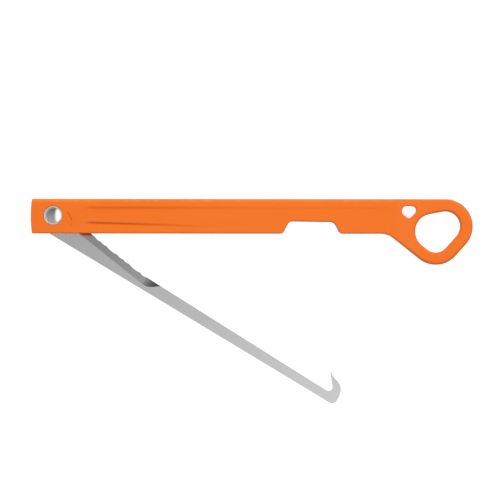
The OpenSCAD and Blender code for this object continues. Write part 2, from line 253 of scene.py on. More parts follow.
class PivotSizes(bpy.types.PropertyGroup):
    """Sizes of the hollow rivet, its backing ring and its seats."""

    lip_w: length("Lip width", "How far the rolled lips reach past the tube", 0.00045)
    lip_t: length("Lip thickness", "Thickness of the rolled lips", 0.0005)
    wall: length("Wall", "Wall of the hollow rivet", 0.0005)
    lip_round: length("Lip rounding", "Rounding of the lips' outer edges", 0.00028)
    flare: length("Flare", "Height of the flare from the bore out to the lips", 0.0009)
    ring_round: length("Ring rounding", "Rounding of the backing ring's edges", 0.00012)
    seat_gap: length("Seat gap", "Radial gap round the rivet in the handle", 0.00003)
    washer_break: length("Washer edges", "Bevel on the washers' edges", 0.00005)


class Finishes(bpy.types.PropertyGroup):
    """Colours and gloss of the materials."""

    orange: colour("Orange", "Colour of the moulded handle", (0.945, 0.179, 0.003))
    orange_deep: colour("Deep orange", "The handle's slightly darker colour", (0.915, 0.165, 0.002))
    # Painted shade: the darker orange that stands in for shade in the grooves, the seats and the shaded edges
    orange_shaded: colour("Dusky orange", "The handle's colour in its grooves", (0.6, 0.075, 0.002))
    orange_worn: colour("Worn orange", "Colour of the handle's rubbed edges", (0.93, 0.24, 0.06))
    steel: colour("Steel", "Colour of the blade", (0.69, 0.69, 0.695))
    ground: colour("Ground steel", "Colour of the ground bevel", (0.84, 0.84, 0.845))
    bright: colour("Bright steel", "Colour of the rivet", (0.9, 0.9, 0.9))
    washer: colour("Washer", "Colour of the plastic washers", (0.72, 0.7, 0.64))
    washer_stain: colour("Stained washer", "Their colour where they are stained", (0.45, 0.4, 0.33))
    handle_gloss: share("Handle roughness", "Roughness of the moulding", 0.46)
    handle_shine: share("Handle shine", "Strength of the moulding's reflection, 0.5 for plain plastic", 0.43)
    blade_gloss: share("Blade roughness", "Roughness of the blade's flats", 0.27)
    ground_gloss: share("Bevel roughness", "Roughness of the ground bevel", 0.1)
    rivet_gloss: share("Rivet roughness", "Roughness of the rivet where it is brightest", 0.3)


class StageSizes(bpy.types.PropertyGroup):
    """Camera, floor and light."""

    view_x: length("View X", "Point the camera looks down on, along X", 0.10667)
    view_down: length("View Y", "The same point, below the pivot", 0.01861)
    view_width: length("View width", "Width of the picture at the pivot's height", 0.27215)
    view_roll: angle("View roll", "How far the camera is turned about its own axis", 0.065)
    camera_up: length("Camera height", "Height of the camera", 1.0)
    lens_sensor: number("Sensor", "Width of the camera's sensor in millimetres", 36.0)
    floor_size: length("Floor", "Side of the square floor", 8.0)
    cap: share("Cap", "Brightness of the middle of the dome's dim cap", 0.05)
    cap_half: share("Cap's slope", "Brightness part of the way out", 0.28)
    cap_mid: angle("Cap's middle", "Angle from the cap's middle to there", 24)
    cap_size: angle("Cap size", "Angle from the cap's middle to where the bright ring starts", 34)
    cap_tilt: angle("Cap tilt", "How far the cap's middle stands off the vertical", 28)
    cap_turn: angle("Cap turn", "Direction of the cap in plan, from +X", 118)
    ring_end: angle("Ring end", "Angle from the cap's middle to where the bright ring ends", 62)
    ring_fade: angle("Ring fade", "Angle over which the ring fades out", 18)
    dome: number("Dome", "Brightness of the ring, 1 for white", 1.06, min=0)
    horizon: share("Horizon", "Share of its brightness that the dome keeps at the horizon", 0.5)
    horizon_end: angle("Horizon's height", "Height at which the dome has its full brightness", 35)
    dome_low: share("Dome's rest", "Share of that brightness that the rest of the dome has", 0.25)
    top_power: power("Top light", "Power of the softbox beyond the handle's top edge", 9.3)
    fill_power: power("Fill light", "Power of the low softbox beyond the eye", 3.0)
    glow: share("Floor glow", "Light of its own that the floor shows to the camera", 0.9)
    floor_white: share("Floor colour", "How much of the lamps' light the floor gives back", 0.35)
    # A painted pool of light on the floor under the rivet, in place of the lamps' light through its bore
    painted_pool_x: length("Patch place", "How far beyond the rivet the bright patch's centre lies", 0.0086)
    painted_pool_r: length("Patch radius", "Radius of the bright patch that is seen through the rivet", 0.0084)


class HookProperties(bpy.types.PropertyGroup):
    """All the sizes, grouped by what they belong to."""

    handle: bpy.props.PointerProperty(type=HandleSizes)
    notch: bpy.props.PointerProperty(type=NotchSizes)
    eye: bpy.props.PointerProperty(type=EyeSizes)
    relief: bpy.props.PointerProperty(type=ReliefSizes)
    blade: bpy.props.PointerProperty(type=BladeSizes)
    pivot: bpy.props.PointerProperty(type=PivotSizes)
    finish: bpy.props.PointerProperty(type=Finishes)
    stage: bpy.props.PointerProperty(type=StageSizes)


def sizes(group):
    """One of those groups."""
    return getattr(bpy.context.scene.ice_hook, group)


# Curves in plan


def arc(centre, radius, start, end, count):
    """Points round a circle: centre + radius * (cos a, sin a) at count + 1 even angles, in degrees."""
    a = np.radians(np.linspace(start, end, count + 1))
    return np.asarray(centre, float) + radius * np.stack([np.cos(a), np.sin(a)], -1)


def line(a, b, count):
    """Count + 1 even points from a to b."""
    t = np.linspace(0, 1, count + 1)[:, None]
    return np.asarray(a, float) * (1 - t) + np.asarray(b, float) * t


def join(*parts):
    """One path through several, each starting where the one before it ends."""
    return np.concatenate([parts[0]] + [p[1:] for p in parts[1:]])


def smooth(t):
    """Eased step: 3t^2 - 2t^3 with t held between 0 and 1."""
    t = np.clip(t, 0, 1)
    return t * t * (3 - 2 * t)


def touch_angle(c0, r0, c1, r1, side=1):
    """Angle at which a line touches two circles: the bearing from one to the other, less or plus
    the arc cosine of their radii's difference over their distance."""
    d = np.subtract(c1, c0)
    return math.degrees(math.atan2(d[1], d[0]) - side * math.acos((r0 - r1) / np.hypot(*d)))


def on_circle(centre, radius, degrees):
    """The point of a circle at an angle."""
    return arc(centre, radius, degrees, degrees, 1)[0]


def rounded(a, b, c, radius, count):
    """The corner at b between a and c as an arc that touches both sides."""
    u = np.subtract(a, b) / np.hypot(*np.subtract(a, b))
    w = np.subtract(c, b) / np.hypot(*np.subtract(c, b))
    half = math.acos(float(u @ w)) / 2
    middle = np.asarray(b) + (u + w) / np.hypot(*(u + w)) * radius / math.sin(half)
    start, end = (
        math.degrees(math.atan2(*(np.asarray(b) + s * radius / math.tan(half) - middle)[::-1]))
        for s in (u, w)
    )
    return arc(middle, radius, start, start + (end - start + 180) % 360 - 180, count)


def normals(points, closed=False):
    """Unit normals on the right-hand side of a path, from the differences of its neighbours."""
    if closed:
        d = np.roll(points, -1, 0) - np.roll(points, 1, 0)
    else:
        d = np.gradient(points, axis=0)
    d = d / np.linalg.norm(d, axis=1, keepdims=True)
    return np.stack([d[:, 1], -d[:, 0]], -1)


def hull_of_circles(circles, steps=720):
    """Outline of several circles wrapped by a band: at each bearing the point that lies furthest out."""
    a = np.linspace(0, 2 * np.pi, steps, endpoint=False)
    out = np.stack([np.cos(a), np.sin(a)], -1)
    reach = np.stack([out @ np.asarray(c) + r for c, r in circles])
    best = reach.argmax(0)
    centres = np.array([c for c, r in circles])[best]
    radii = np.array([r for c, r in circles])[best]
    return centres + radii[:, None] * out


def at_bearings(outline, centre, bearings):
    """Where rays from a centre at given bearings cross a closed outline, by linear interpolation."""
    d = np.concatenate([outline, outline[:1]]) - centre
    steps = np.linspace(0, 1, 9)[:-1, None]
    dense = (d[:-1, None] * (1 - steps) + d[1:, None] * steps).reshape(-1, 2)
    a = np.arctan2(dense[:, 1], dense[:, 0])
    order = np.argsort(a)
    r = np.interp(bearings, a[order], np.hypot(*dense[order].T), period=2 * np.pi)
    return centre + r[:, None] * np.stack([np.cos(bearings), np.sin(bearings)], -1)


# Sheets of points and meshes


def raised(points, z):
    """Plan points with a height: (x, y) and z side by side."""
    return np.concatenate([points, np.broadcast_to(z, points.shape[:-1])[..., None]], -1)


def between(a, b, shares):
    """Rows ruled from path a to path b: a (1 - t) + b t for each share t."""
    t = np.asarray(shares)[:, None, None]
    return a[None] * (1 - t) + b[None] * t


def flipped(sheet):
    """The same sheet on the other side of the mid-plane."""
    return sheet * np.array([1, 1, -1])


def both_sides(*sheets):
    """Each sheet, followed by the same one on the other side."""
    return [side for sheet in sheets for side in (sheet, flipped(sheet))]


def quads(rows, columns, first):
    """Corner numbers of the quads of a grid of points."""
    i = first + np.arange(rows * columns).reshape(rows, columns)
    return np.stack([i[:-1, :-1], i[:-1, 1:], i[1:, 1:], i[1:, :-1]], -1).reshape(-1, 4)


def solid(name, sheets, crease, **values):
    """A closed mesh from grids of points that share their edges, with an optional value a point."""
    mesh = bpy.data.meshes.new(name)
    counts = np.cumsum([0] + [s.shape[0] * s.shape[1] for s in sheets])
    faces = np.concatenate([quads(*s.shape[:2], n) for s, n in zip(sheets, counts)])
    points = np.concatenate([s.reshape(-1, 3) for s in sheets])
    mesh.vertices.add(len(points))
    mesh.vertices.foreach_set("co", points.astype(np.float32).ravel())
    mesh.loops.add(faces.size)
    mesh.loops.foreach_set("vertex_index", faces.ravel())
    mesh.polygons.add(len(faces))
    mesh.polygons.foreach_set("loop_start", np.arange(0, faces.size, 4))
    mesh.update(calc_edges=True)
    for key, value in values.items():
        mesh.attributes.new(key, "FLOAT", "POINT").data.foreach_set("value", value(points))
    weld(mesh)
    piece = bpy.data.objects.new(name, mesh)
    bpy.context.scene.collection.objects.link(piece)
    shade(mesh, crease)
    return piece


def weld(mesh):
    """Merges the points that sheets share, drops what collapses, and turns all faces outwards."""
    work = bmesh.new()
    work.from_mesh(mesh)
    bmesh.ops.remove_doubles(work, verts=work.verts, dist=MERGE)
    bmesh.ops.dissolve_degenerate(work, dist=MERGE, edges=work.edges)
    bmesh.ops.recalc_face_normals(work, faces=work.faces)
    work.to_mesh(mesh)
    work.free()


def shade(mesh, crease):
    """Smooth shading, with a crease where faces meet at more than an angle in degrees."""
    mesh.polygons.foreach_set("use_smooth", np.ones(len(mesh.polygons), bool))
    mesh.set_sharp_from_angle(angle=math.radians(crease))
    mesh.update()


def lathe(profile, count=128):
    """A closed profile of (radius, height) carried round the pivot's axis."""
    a = np.linspace(0, 2 * np.pi, count + 1)
    ring = np.stack([np.cos(a), np.sin(a)], -1)
    ring[-1] = ring[0]
    p = np.concatenate([profile, profile[:1]])
    return raised(p[:, None, :1] * ring[None], p[:, 1:])


def dress(piece, body, material, slot, *nodes):
    """Gives a piece its material and its body, and hides the nodes that it stands for. The slot is not used."""
    piece.data.materials.clear()
    piece.data.materials.append(material)
    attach(piece, body)
    if nodes:
        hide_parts(*nodes)


# The handle

# Counts of rows across a rounded edge and a lip, in the five stretches of the grip's face, and round the
# rivet's seats
ROUND_STEPS = 6
LIP_STEPS = 3
FACE_ROWS = (8, 26, 18, 16, 8)
PIVOT_RINGS = 36

# Where the grids round the pivot end, and those along the handle and the blade begin
COLUMN_X = 0.012
# How far past the slot's end the cord hole's block reaches, along the neck and along the top edge
NECK_BLOCK = 0.003
TOP_BLOCK = 0.0155
# Middle point of the curve that parts that block from the eye's
PARTING = (0.1958, -0.0022)
# The eye's edge rounding is reached at this many ramp lengths
EYE_EASE = 1.4
# Least distance between the lines that gather the grip's rows
ROW_ROOM = 0.0005
# Lengths over which the panel, the bead and the shoulder run out, and the depth that the panel loses
PANEL_EASE = 0.006
BEAD_EASE = 0.012
SHOULDER_EASE = 0.001
TAIL_LOSS = 0.65
# Heights between which the flutes, the slanted mark and its faint tail lie, and how they fade out
FLUTE_SPAN = (-0.0045, 0.0045)
MARK_SPAN = (-0.0032, 0.0026)
TAIL_SPAN = (-0.0065, -0.0024)
TAIL_STRENGTH = 0.35
MARK_EASE = 0.0012
# Strength of the painted shade, with some dirt, in the groove and under the bead, and where and how much
# the latter fades
GROOVE_SHADE = 0.85
BEAD_SHADE = 0.42
SHADE_FADE_X = 0.04
SHADE_FADE_L = 0.09
SHADE_FADE = 0.75
# Painted shade in the rivet's seats, a shadow line round the rivet, and on the eye's rolled edges
SEAT_SHADE = 0.75
EYE_SHADE = 0.4
# Middle and half width of the stretch of the slot's mouth, past which the blade's edge swings, that is
# painted in shade, which the blade's bevel reflects
SLOT_SHADE_X = 0.0178
SLOT_SHADE_W = 0.0062
# Heights between which hands rub the handle's walls, as shares of its face's height
RUBBED = (0.35, 0.985)


def nose_x(y):
    """The nose's end in plan: its foremost point less what a circle of its swell falls back."""
    h = sizes("handle")
    half = (HANDLE_HIGH.y + h.body_below) / 2
    radius = (half**2 + h.nose_swell**2) / (2 * h.nose_swell)
    middle = (HANDLE_HIGH.y - h.body_below) / 2
    return HANDLE_LOW.x + radius - np.sqrt(radius**2 - (y - middle) ** 2)


def face_height(p):
    """Height of the handle's face: the body's half thickness, less an eased ramp down to the eye, less
    the relief."""
    h = sizes("handle")
    x, y = p[..., 0], p[..., 1]
    full = HANDLE_HIGH.z
    slope = (full - h.eye_half) / h.ramp
    into = x - h.slot_end
    start = np.where(into > 0, into, 0) ** 2 / (2 * h.ramp_ease)
    eased = np.where(into < h.ramp_ease, start, into - h.ramp_ease / 2)
    left = h.ramp - into
    last = np.where(left > 0, left, 0) ** 2 / (2 * h.ramp_ease)
    eased = np.where(left < h.ramp_ease, h.ramp - h.ramp_ease / 2 - last, eased)
    ramp = slope * np.clip(eased, 0, None) * h.ramp / (h.ramp - h.ramp_ease / 2)
    return full - ramp - relief_depth(x, y)


def groove_y(x):
    """Height of the groove's line, which falls evenly along the panel."""
    f = sizes("relief")
    return -f.foot - f.foot_fall * (x - f.start) / (f.end - f.start)


def relief_depth(x, y):
    """Depth of the relief. Across the handle, from the top: a shoulder that rises to a bead, an eased
    step down to the panel, the panel, which rises evenly to the groove, and the groove, whose two
    sides are bell curves of unlike widths. Each fades in and out along the handle by an eased step."""
    f = sizes("relief")
    enter = smooth((x - f.start) / f.lead)
    below = groove_y(x) - y
    down = np.clip((f.top - y) / (f.top - groove_y(x)), 0, 1)
    sunk = f.depth + (f.rise - f.depth) * down
    sunk = sunk * smooth((f.top - y) / f.step) * smooth(-below / f.step)
    sunk = sunk * (1 - TAIL_LOSS * smooth((x - f.end + f.tail) / f.tail)) * smooth((f.end - x) / PANEL_EASE)
    side = np.where(below < 0, f.groove_up, f.groove_low)
    groove = f.groove * (1 - smooth((x - f.groove_end) / f.groove_fade)) * bell(below / side)
    along = enter * smooth((f.bead_end - x) / BEAD_EASE)
    shoulder = f.shoulder * along * smooth((y - f.bead) / SHOULDER_EASE)
    past = smooth((x - f.end + PANEL_EASE) / (2 * PANEL_EASE))
    crease = f.crease * past * along * bell((y - f.top + f.step) / f.step)
    marks = line_mark(x, y) * f.mark_depth
    for i in (-1, 0, 1):
        across = bell((x + f.flute_x + i * f.flute_gap) / f.flute_width)
        marks = marks + across * band(y, *FLUTE_SPAN) * f.flute_depth
    return enter * (sunk + groove) + shoulder + crease + marks


def line_mark(x, y):
    """How deep the fine slanted mark beyond the rivet is at a point, from 0 to 1: a bell curve across
    its line, which leans by an eased step, and a fainter one across its upright tail."""
    f = sizes("relief")
    top = MARK_SPAN[1]
    slanted = f.mark_x + f.mark_slant * smooth((top - y) / (2 * top))
    height = band(y, *MARK_SPAN) + TAIL_STRENGTH * band(y, *TAIL_SPAN)
    return bell((x - slanted) / f.mark_width) * height


def face_shade_and_dirt(points):
    """How much painted shade, with some dirt in the groove, darkens a point of the face, from 0 to 1: a bell
    curve across the groove's steep side, a third of its half width above the groove's line, a bell curve
    across the step under the bead, a little past its middle, and the slanted mark."""
    f = sizes("relief")
    x, y = points[:, 0], points[:, 1]
    enter = smooth((x - f.start) / f.lead)
    above = (y - groove_y(x) - f.groove_up * 0.35) / (f.groove_up * 0.9)
    groove = enter * (1 - smooth((x - f.groove_end) / f.groove_fade)) * bell(above)
    under = (f.top - f.step * 0.55 - y) / (f.step * 0.6)
    fade = 1 - SHADE_FADE * smooth((x - SHADE_FADE_X) / SHADE_FADE_L)
    step = BEAD_SHADE * enter * fade * smooth((f.bead_end - x) / BEAD_EASE) * bell(under)
    return np.clip(GROOVE_SHADE * groove + step + line_mark(x, y), 0, 1)


def shade_and_dirt_at(points):
    """How much painted shade, with some dirt in the groove, darkens a point of the handle, from 0 to 1.
    Below its face: an even share in the rivet's seats, a painted shadow line round the rivet; a share
    that eases in down the eye's edges, painted shade on its rolled edges; and a bell curve, cut off at 1,
    along the slot's mouth where the blade's edge swings past it, painted shade on the wall that the
    blade's bevel reflects."""
    h = sizes("handle")
    x, y = points[:, 0], points[:, 1]
    low = face_height(points[:, :2]) - np.abs(points[:, 2])
    in_seat = np.hypot(x, y) < RING_HIGH.x + 0.0001
    # Painted shadow line in the rivet's seats, and painted shade on the eye's rolled edges
    edge = np.where(in_seat, SEAT_SHADE, EYE_SHADE * (x > h.slot_end) * smooth(low / h.hole_round))
    # Painted shade along the slot's mouth, on the wall that the blade's bevel reflects
    stain_and_shade = np.minimum(1.6 * bell((x - SLOT_SHADE_X) / SLOT_SHADE_W), 1) * (y < -h.body_below + 0.0004)
    edge = np.maximum(edge, stain_and_shade * smooth((low - h.edge_round) / 0.001))
    return np.where(low > TOUCH, edge, face_shade_and_dirt(points))


def rub(points):
    """1 on the walls and edges of the grip that hands rub, and else 0."""
    wall = np.abs(points[:, 2]) / np.maximum(face_height(points[:, :2]), 1e-9)
    held = points[:, 0] < sizes("handle").slot_end
    return np.where((wall > RUBBED[0]) & (wall < RUBBED[1]) & held, 1.0, 0.0)


def bell(t):
    """Bell curve exp(-t^2)."""
    return np.exp(-t * t)


def band(y, low, high):
    """1 between two heights, eased to 0 at both."""
    return smooth((y - low) / MARK_EASE) * smooth((high - y) / MARK_EASE)


def handle_plan():
    """The handle's outline in named stretches, counter-clockwise from the nose's lower corner."""
    h, n, e = sizes("handle"), sizes("notch"), sizes("eye")
    top, low = HANDLE_HIGH.y, -h.body_below
    flank = h.neck_angle
    lobe = np.array([e.lobe_x, top - e.lobe_r])
    low_lobe = lobe - [e.low_back, e.low_drop]
    touch = on_circle(low_lobe, e.low_r, -90 - math.degrees(flank))
    foot = np.array([touch[0] - (low - touch[1]) / math.tan(flank), low])
    side = touch_angle(low_lobe, e.low_r, lobe, e.lobe_r)

    def neck(x):
        return np.array([x, low - (x - foot[0]) * math.tan(flank)])

    reach = [n.height / math.tan(n.flank), (n.height - n.fall) / math.tan(n.flank)]
    k = [
        (n.near, low), (n.near + reach[0], low + n.height),
        (n.far - reach[1], low + n.height - n.fall), (n.far, low),
    ]
    turns = [
        rounded((0, low), k[0], k[1], n.round, 5), rounded(k[0], k[1], k[2], n.top_round, 5),
        rounded(k[1], k[2], k[3], n.top_round, 5), rounded(k[2], k[3], (1, low), n.round, 5),
    ]
    bend = rounded((0, low), foot, touch, h.neck_round, 8)
    corner_x = float(nose_x(low))
    neck_end = neck(h.slot_end + NECK_BLOCK)
    return {
        "bottom": line((corner_x, low), (COLUMN_X, low), 20),
        "grip": join(
            line((COLUMN_X, low), turns[0][0], 96), turns[0],
            line(turns[0][-1], turns[1][0], 4), turns[1],
            line(turns[1][-1], turns[2][0], 18), turns[2],
            line(turns[2][-1], turns[3][0], 4), turns[3],
            line(turns[3][-1], bend[0], 22), bend, line(bend[-1], neck(h.slot_end), 1),
        ),
        "neck": line(neck(h.slot_end), neck_end, 4),
        "eye": join(
            line(neck_end, touch, 12),
            arc(low_lobe, e.low_r, -90 - math.degrees(flank), side, 30),
            line(on_circle(low_lobe, e.low_r, side), on_circle(lobe, e.lobe_r, side), 8),
            arc(lobe, e.lobe_r, side, 90, 44),
            line((lobe[0], top), (h.slot_end + TOP_BLOCK, top), 12),
        ),
        "web_side": line((COLUMN_X, top), (h.web_x, top), 4),
        "nose_side": line((h.web_x, top), (float(nose_x(top)), top), 18),
    }


def rounding(points):
    """Rounding radius along the outline: the top edges' own and the other edges' own, each of which
    passes over into the eye's down the ramp."""
    h = sizes("handle")
    near = np.where(points[:, 1] > HANDLE_HIGH.y - TOUCH, h.top_round, h.edge_round)
    return near + (h.eye_round - near) * smooth((points[:, 0] - h.slot_end) / (h.ramp * EYE_EASE))


def rolled(points, out, radius):
    """The rounding from a face to the wall, a quarter of an ellipse: at each angle a the path drawn in by
    r (1 - sin a), and lowered from the face's height there by q (1 - cos a). The height q is r where the
    wall below leaves room for it, and else the room that there is above the slot's lip."""
    h = sizes("handle")
    room = face_height(points) - h.slot_half - h.slot_lip - h.edge_room
    a = np.linspace(0, np.pi / 2, ROUND_STEPS + 1)[:, None]
    plan = points[None] - out[None] * (radius * (1 - np.sin(a)))[..., None]
    return raised(plan, face_height(plan) - np.minimum(radius, room) * (1 - np.cos(a)))


def wall_down(top, height, steps):
    """A wall from a row of points straight down to a height."""
    bottom = top.copy()
    bottom[:, 2] = height
    return between(top, bottom, np.linspace(0, 1, steps + 1))


def lip(points, inwards):
    """The slot's rounded lip: at each angle a drawn in by q (1 - cos a) and at the slot's face plus
    q (1 - sin a)."""
    h = sizes("handle")
    a = np.linspace(0, np.pi / 2, LIP_STEPS + 1)[:, None]
    plan = points[None] + inwards[None] * (h.slot_lip * (1 - np.cos(a)))[..., None]
    return raised(plan, h.slot_half + h.slot_lip * (1 - np.sin(a)))


def hole_rim(outline, centre, bearings, radius):
    """A hole's rim from the face to the mid-plane, and its innermost row on the face."""
    points = at_bearings(outline, centre, bearings)
    dense_out = -normals(outline, closed=True)
    a = np.arctan2(*(outline - centre).T[::-1])
    order = np.argsort(a)
    out = np.stack(
        [np.interp(bearings, a[order], dense_out[order, i], period=2 * np.pi) for i in (0, 1)], -1
    )
    out = out / np.linalg.norm(out, axis=1, keepdims=True)
    roll = rolled(points, out, np.full(len(points), radius))
    return np.concatenate([roll, wall_down(roll[-1], 0.0, 3)[1:]])


def face_grid(low, top):
    """Rows of the grip's face from its lower edge to its upper one, column by column, gathered round
    the groove and the bead: each stretch between them is ruled evenly."""
    f = sizes("relief")
    y0, y1 = low[:, 1], top[:, 1]
    groove_foot = np.maximum(groove_y(low[:, 0]) - 2 * f.groove_low, y0 + ROW_ROOM)
    step_foot = np.full_like(y0, f.top - f.step * 1.2)
    groove_top = np.minimum(groove_foot + 2 * f.groove_low + 2.5 * f.groove_up, step_foot - ROW_ROOM)
    stops = [y0, groove_foot, groove_top, step_foot, np.full_like(y0, f.bead), y1]
    rows = [y0[None]]
    for a, b, count in zip(stops[:-1], stops[1:], FACE_ROWS):
        t = np.linspace(0, 1, count + 1)[1:, None]
        rows.append(a * (1 - t) + b * t)
    y = np.concatenate(rows)
    t = (y - y0) / (y1 - y0)
    x = low[:, 0] * (1 - t) + top[:, 0] * t
    return np.stack([x, y], -1)


def bearings_of(loop, centre):
    """Bearings of a loop's points from a centre."""
    d = loop - centre
    return np.arctan2(d[:, 1], d[:, 0])


def seat_wall(loop, inner_loop, rings):
    """A stepped bore round the pivot from the face's loop to the slot's: rings of (radius, height),
    turned evenly from the first loop's bearings to the second's."""
    first = np.unwrap(bearings_of(loop, (0, 0)))
    second = np.unwrap(bearings_of(inner_loop, (0, 0)))
    second = second + 2 * np.pi * np.round((first - second).mean() / (2 * np.pi))
    t = np.linspace(0, 1, len(rings))[:, None]
    a = first[None] * (1 - t) + second[None] * t
    r, z = np.array(rings).T
    return raised(r[:, None, None] * np.stack([np.cos(a), np.sin(a)], -1), z[:, None])


def ring_points(radius, loop):
    """Points of a circle round the pivot at a loop's bearings."""
    a = bearings_of(loop, (0, 0))
    return radius * np.stack([np.cos(a), np.sin(a)], -1)


def handle_paths():
    """The paths that the handle's sheets share: its lower and its upper edge with their rounding, and on
    the face the grip's grid and the loops round the pivot's, the cord hole's and the eye's blocks."""
    k = SimpleNamespace()
    p = handle_plan()
    top = HANDLE_HIGH.y
    k.low = join(p["bottom"], p["grip"], p["neck"], p["eye"])
    k.low_out = normals(k.low)
    k.low_out[0] = (0, -1)
    k.low_ends = np.cumsum([0] + [len(p[part]) - 1 for part in ("bottom", "grip", "neck", "eye")])
    k.low_roll = rolled(k.low, k.low_out, rounding(k.low))
    grip_x = k.low_roll[0, k.low_ends[1]:k.low_ends[2] + 1, 0]
    k.top = join(
        line(p["eye"][-1], (grip_x[-1], top), 14),
        np.stack([grip_x[::-1], np.full(len(grip_x), top)], -1),
        p["web_side"], p["nose_side"],
    )
    k.top_ends = np.cumsum([0, 14, len(grip_x) - 1, len(p["web_side"]) - 1, len(p["nose_side"]) - 1])
    k.top_roll = rolled(k.top, np.broadcast_to([0.0, 1.0], k.top.shape), rounding(k.top))
    k.low_roll[:, 0, 0] = nose_x(k.low_roll[:, 0, 1])
    k.top_roll[:, -1, 0] = nose_x(k.top_roll[:, -1, 1])

    ring = k.low_roll[0, :, :2]
    upper = k.top_roll[0, :, :2]
    grip_low = ring[k.low_ends[1]:k.low_ends[2] + 1]
    grip_top = upper[k.top_ends[1]:k.top_ends[2] + 1][::-1]
    k.grip = face_grid(grip_low, grip_top)
    nose_y = np.linspace(upper[-1, 1], ring[0, 1], 17)
    k.nose_face = np.stack([nose_x(nose_y), nose_y], -1)
    k.pivot_loop = join(
        ring[:k.low_ends[1] + 1], k.grip[:, 0], upper[k.top_ends[2]:k.top_ends[4] + 1], k.nose_face
    )
    t = np.linspace(0, 1, 25)[:, None]
    start, end = ring[k.low_ends[3]], upper[0]
    parting = (1 - t) ** 2 * start + 2 * t * (1 - t) * np.array(PARTING) + t**2 * end
    k.cord_loop = join(
        ring[k.low_ends[2]:k.low_ends[3] + 1], parting, upper[:k.top_ends[1] + 1], k.grip[::-1, -1]
    )
    k.eye_loop = join(ring[k.low_ends[3]:], parting[::-1])
    return k


def hole_outlines():
    """Outlines of the cord hole and of the eye's hole, each a band round three circles."""
    e = sizes("eye")
    near = np.array([e.cord_x, e.cord_y])
    cord = hull_of_circles([
        (near, e.cord_r), (near + [e.cord_far, e.cord_far_up], e.cord_far_r),
        (near + [e.cord_low, -e.cord_low_drop], e.cord_low_r),
    ])
    lobe = np.array([e.lobe_x, HANDLE_HIGH.y - e.lobe_r])
    low_lobe = lobe - [e.low_back, e.low_drop]
    eye = hull_of_circles([
        (lobe, e.lobe_r - e.rim), (low_lobe, e.low_r - e.rim), (lobe - [e.back, e.back_drop], e.back_r),
    ])
    return cord, eye


def face_sheets(k):
    """The rims of the two holes and the face's blocks, apart from the pivot's."""
    h = sizes("handle")
    cord_hole, eye_hole = hole_outlines()
    plan_sheets = [k.grip]
    sheets = []
    for loop, hole, soft in ((k.cord_loop, cord_hole, h.cord_round), (k.eye_loop, eye_hole, h.hole_round)):
        centre = hole.mean(0)
        rim = hole_rim(hole, centre, bearings_of(loop, centre), soft)
        rim[:, -1] = rim[:, 0]
        sheets += both_sides(rim)
        plan_sheets.append(between(loop, rim[0, :, :2], np.linspace(0, 1, 15)))
    return sheets + both_sides(*(raised(sheet, face_height(sheet)) for sheet in plan_sheets))


def slot_sheets(k):
    """The outer walls, the slot's lips, faces, roof and ends, and the solid walls past them; and the loop
    round the pivot in the slot's face."""
    h = sizes("handle")
    edge = h.slot_half + h.slot_lip
    nose = raised(k.nose_face, face_height(k.nose_face))
    nose = np.concatenate([k.top_roll[::-1, -1], nose[1:-1], k.low_roll[:, 0]])
    walls = [wall_down(row, edge, 2) for row in (k.low_roll[-1], k.top_roll[-1], nose)]
    sheets = both_sides(k.low_roll, k.top_roll, *walls)

    # The lips: along the top edge ahead of the web, down the nose, and along the bottom edge
    slot_top = k.top[k.top_ends[3]:]
    slot_low = k.low[:k.low_ends[2] + 1]
    slot_nose = nose[:, :2]
    pull_down = np.clip(1 - (HANDLE_HIGH.y - slot_nose[:, 1]) / h.slot_lip, 0, 1)
    pull_up = np.clip(1 - (slot_nose[:, 1] + h.body_below) / h.slot_lip, 0, 1)
    into = np.concatenate([
        np.broadcast_to([0.0, -1.0], slot_top.shape)[:-1],
        np.stack([np.ones(len(slot_nose)), pull_up - pull_down], -1),
        -k.low_out[1:k.low_ends[2] + 1],
    ])
    lips = lip(join(slot_top, slot_nose, slot_low), into)
    inner = lips[-1, :, :2]

    # The two faces, from the lips to the roof, with as many rows as the loops' matching asks
    first = len(slot_top) + len(slot_nose) - 2 + k.low_ends[1]
    inner_low = inner[first:]
    roof = np.stack([inner_low[:, 0], np.full(len(inner_low), h.slot_roof)], -1)
    rows = len(k.pivot_loop) - 1 - (first + 4)
    deep = between(inner_low, roof, np.linspace(0, 1, rows + 1))
    web_foot = np.array([h.web_x, h.slot_roof])
    roof_near = line(roof[0], web_foot, 2)
    web_wall = line(web_foot, inner[0], 2)
    split = first - k.low_ends[1]
    loop = join(inner[split:first + 1], deep[:, 0], roof_near, web_wall, inner[:split + 1])
    disc = between(loop, ring_points(tube_hole(), loop), np.linspace(0, 1, 4))
    sheets += both_sides(lips, raised(deep, h.slot_half), raised(disc, h.slot_half))

    # Walls that join both sides: the solid web's and eye's, and the slot's ends and roof
    solid_path = join(k.low[k.low_ends[2]:], k.top[:k.top_ends[3] + 1])
    sheets.append(between(raised(solid_path, edge), raised(solid_path, -edge), (0, 0.5, 1)))
    pocket = join(
        lips[:, -1], raised(deep[:, -1], h.slot_half), raised(roof[::-1], h.slot_half),
        raised(roof_near, h.slot_half), raised(web_wall, h.slot_half), lips[::-1, 0],
    )
    sheets.append(between(pocket, flipped(pocket), (0, 0.5, 1)))
    return sheets, loop


def tube_hole():
    """Radius of the handle's hole round the rivet's tube."""
    v = sizes("pivot")
    return BORE_R + v.wall + v.seat_gap


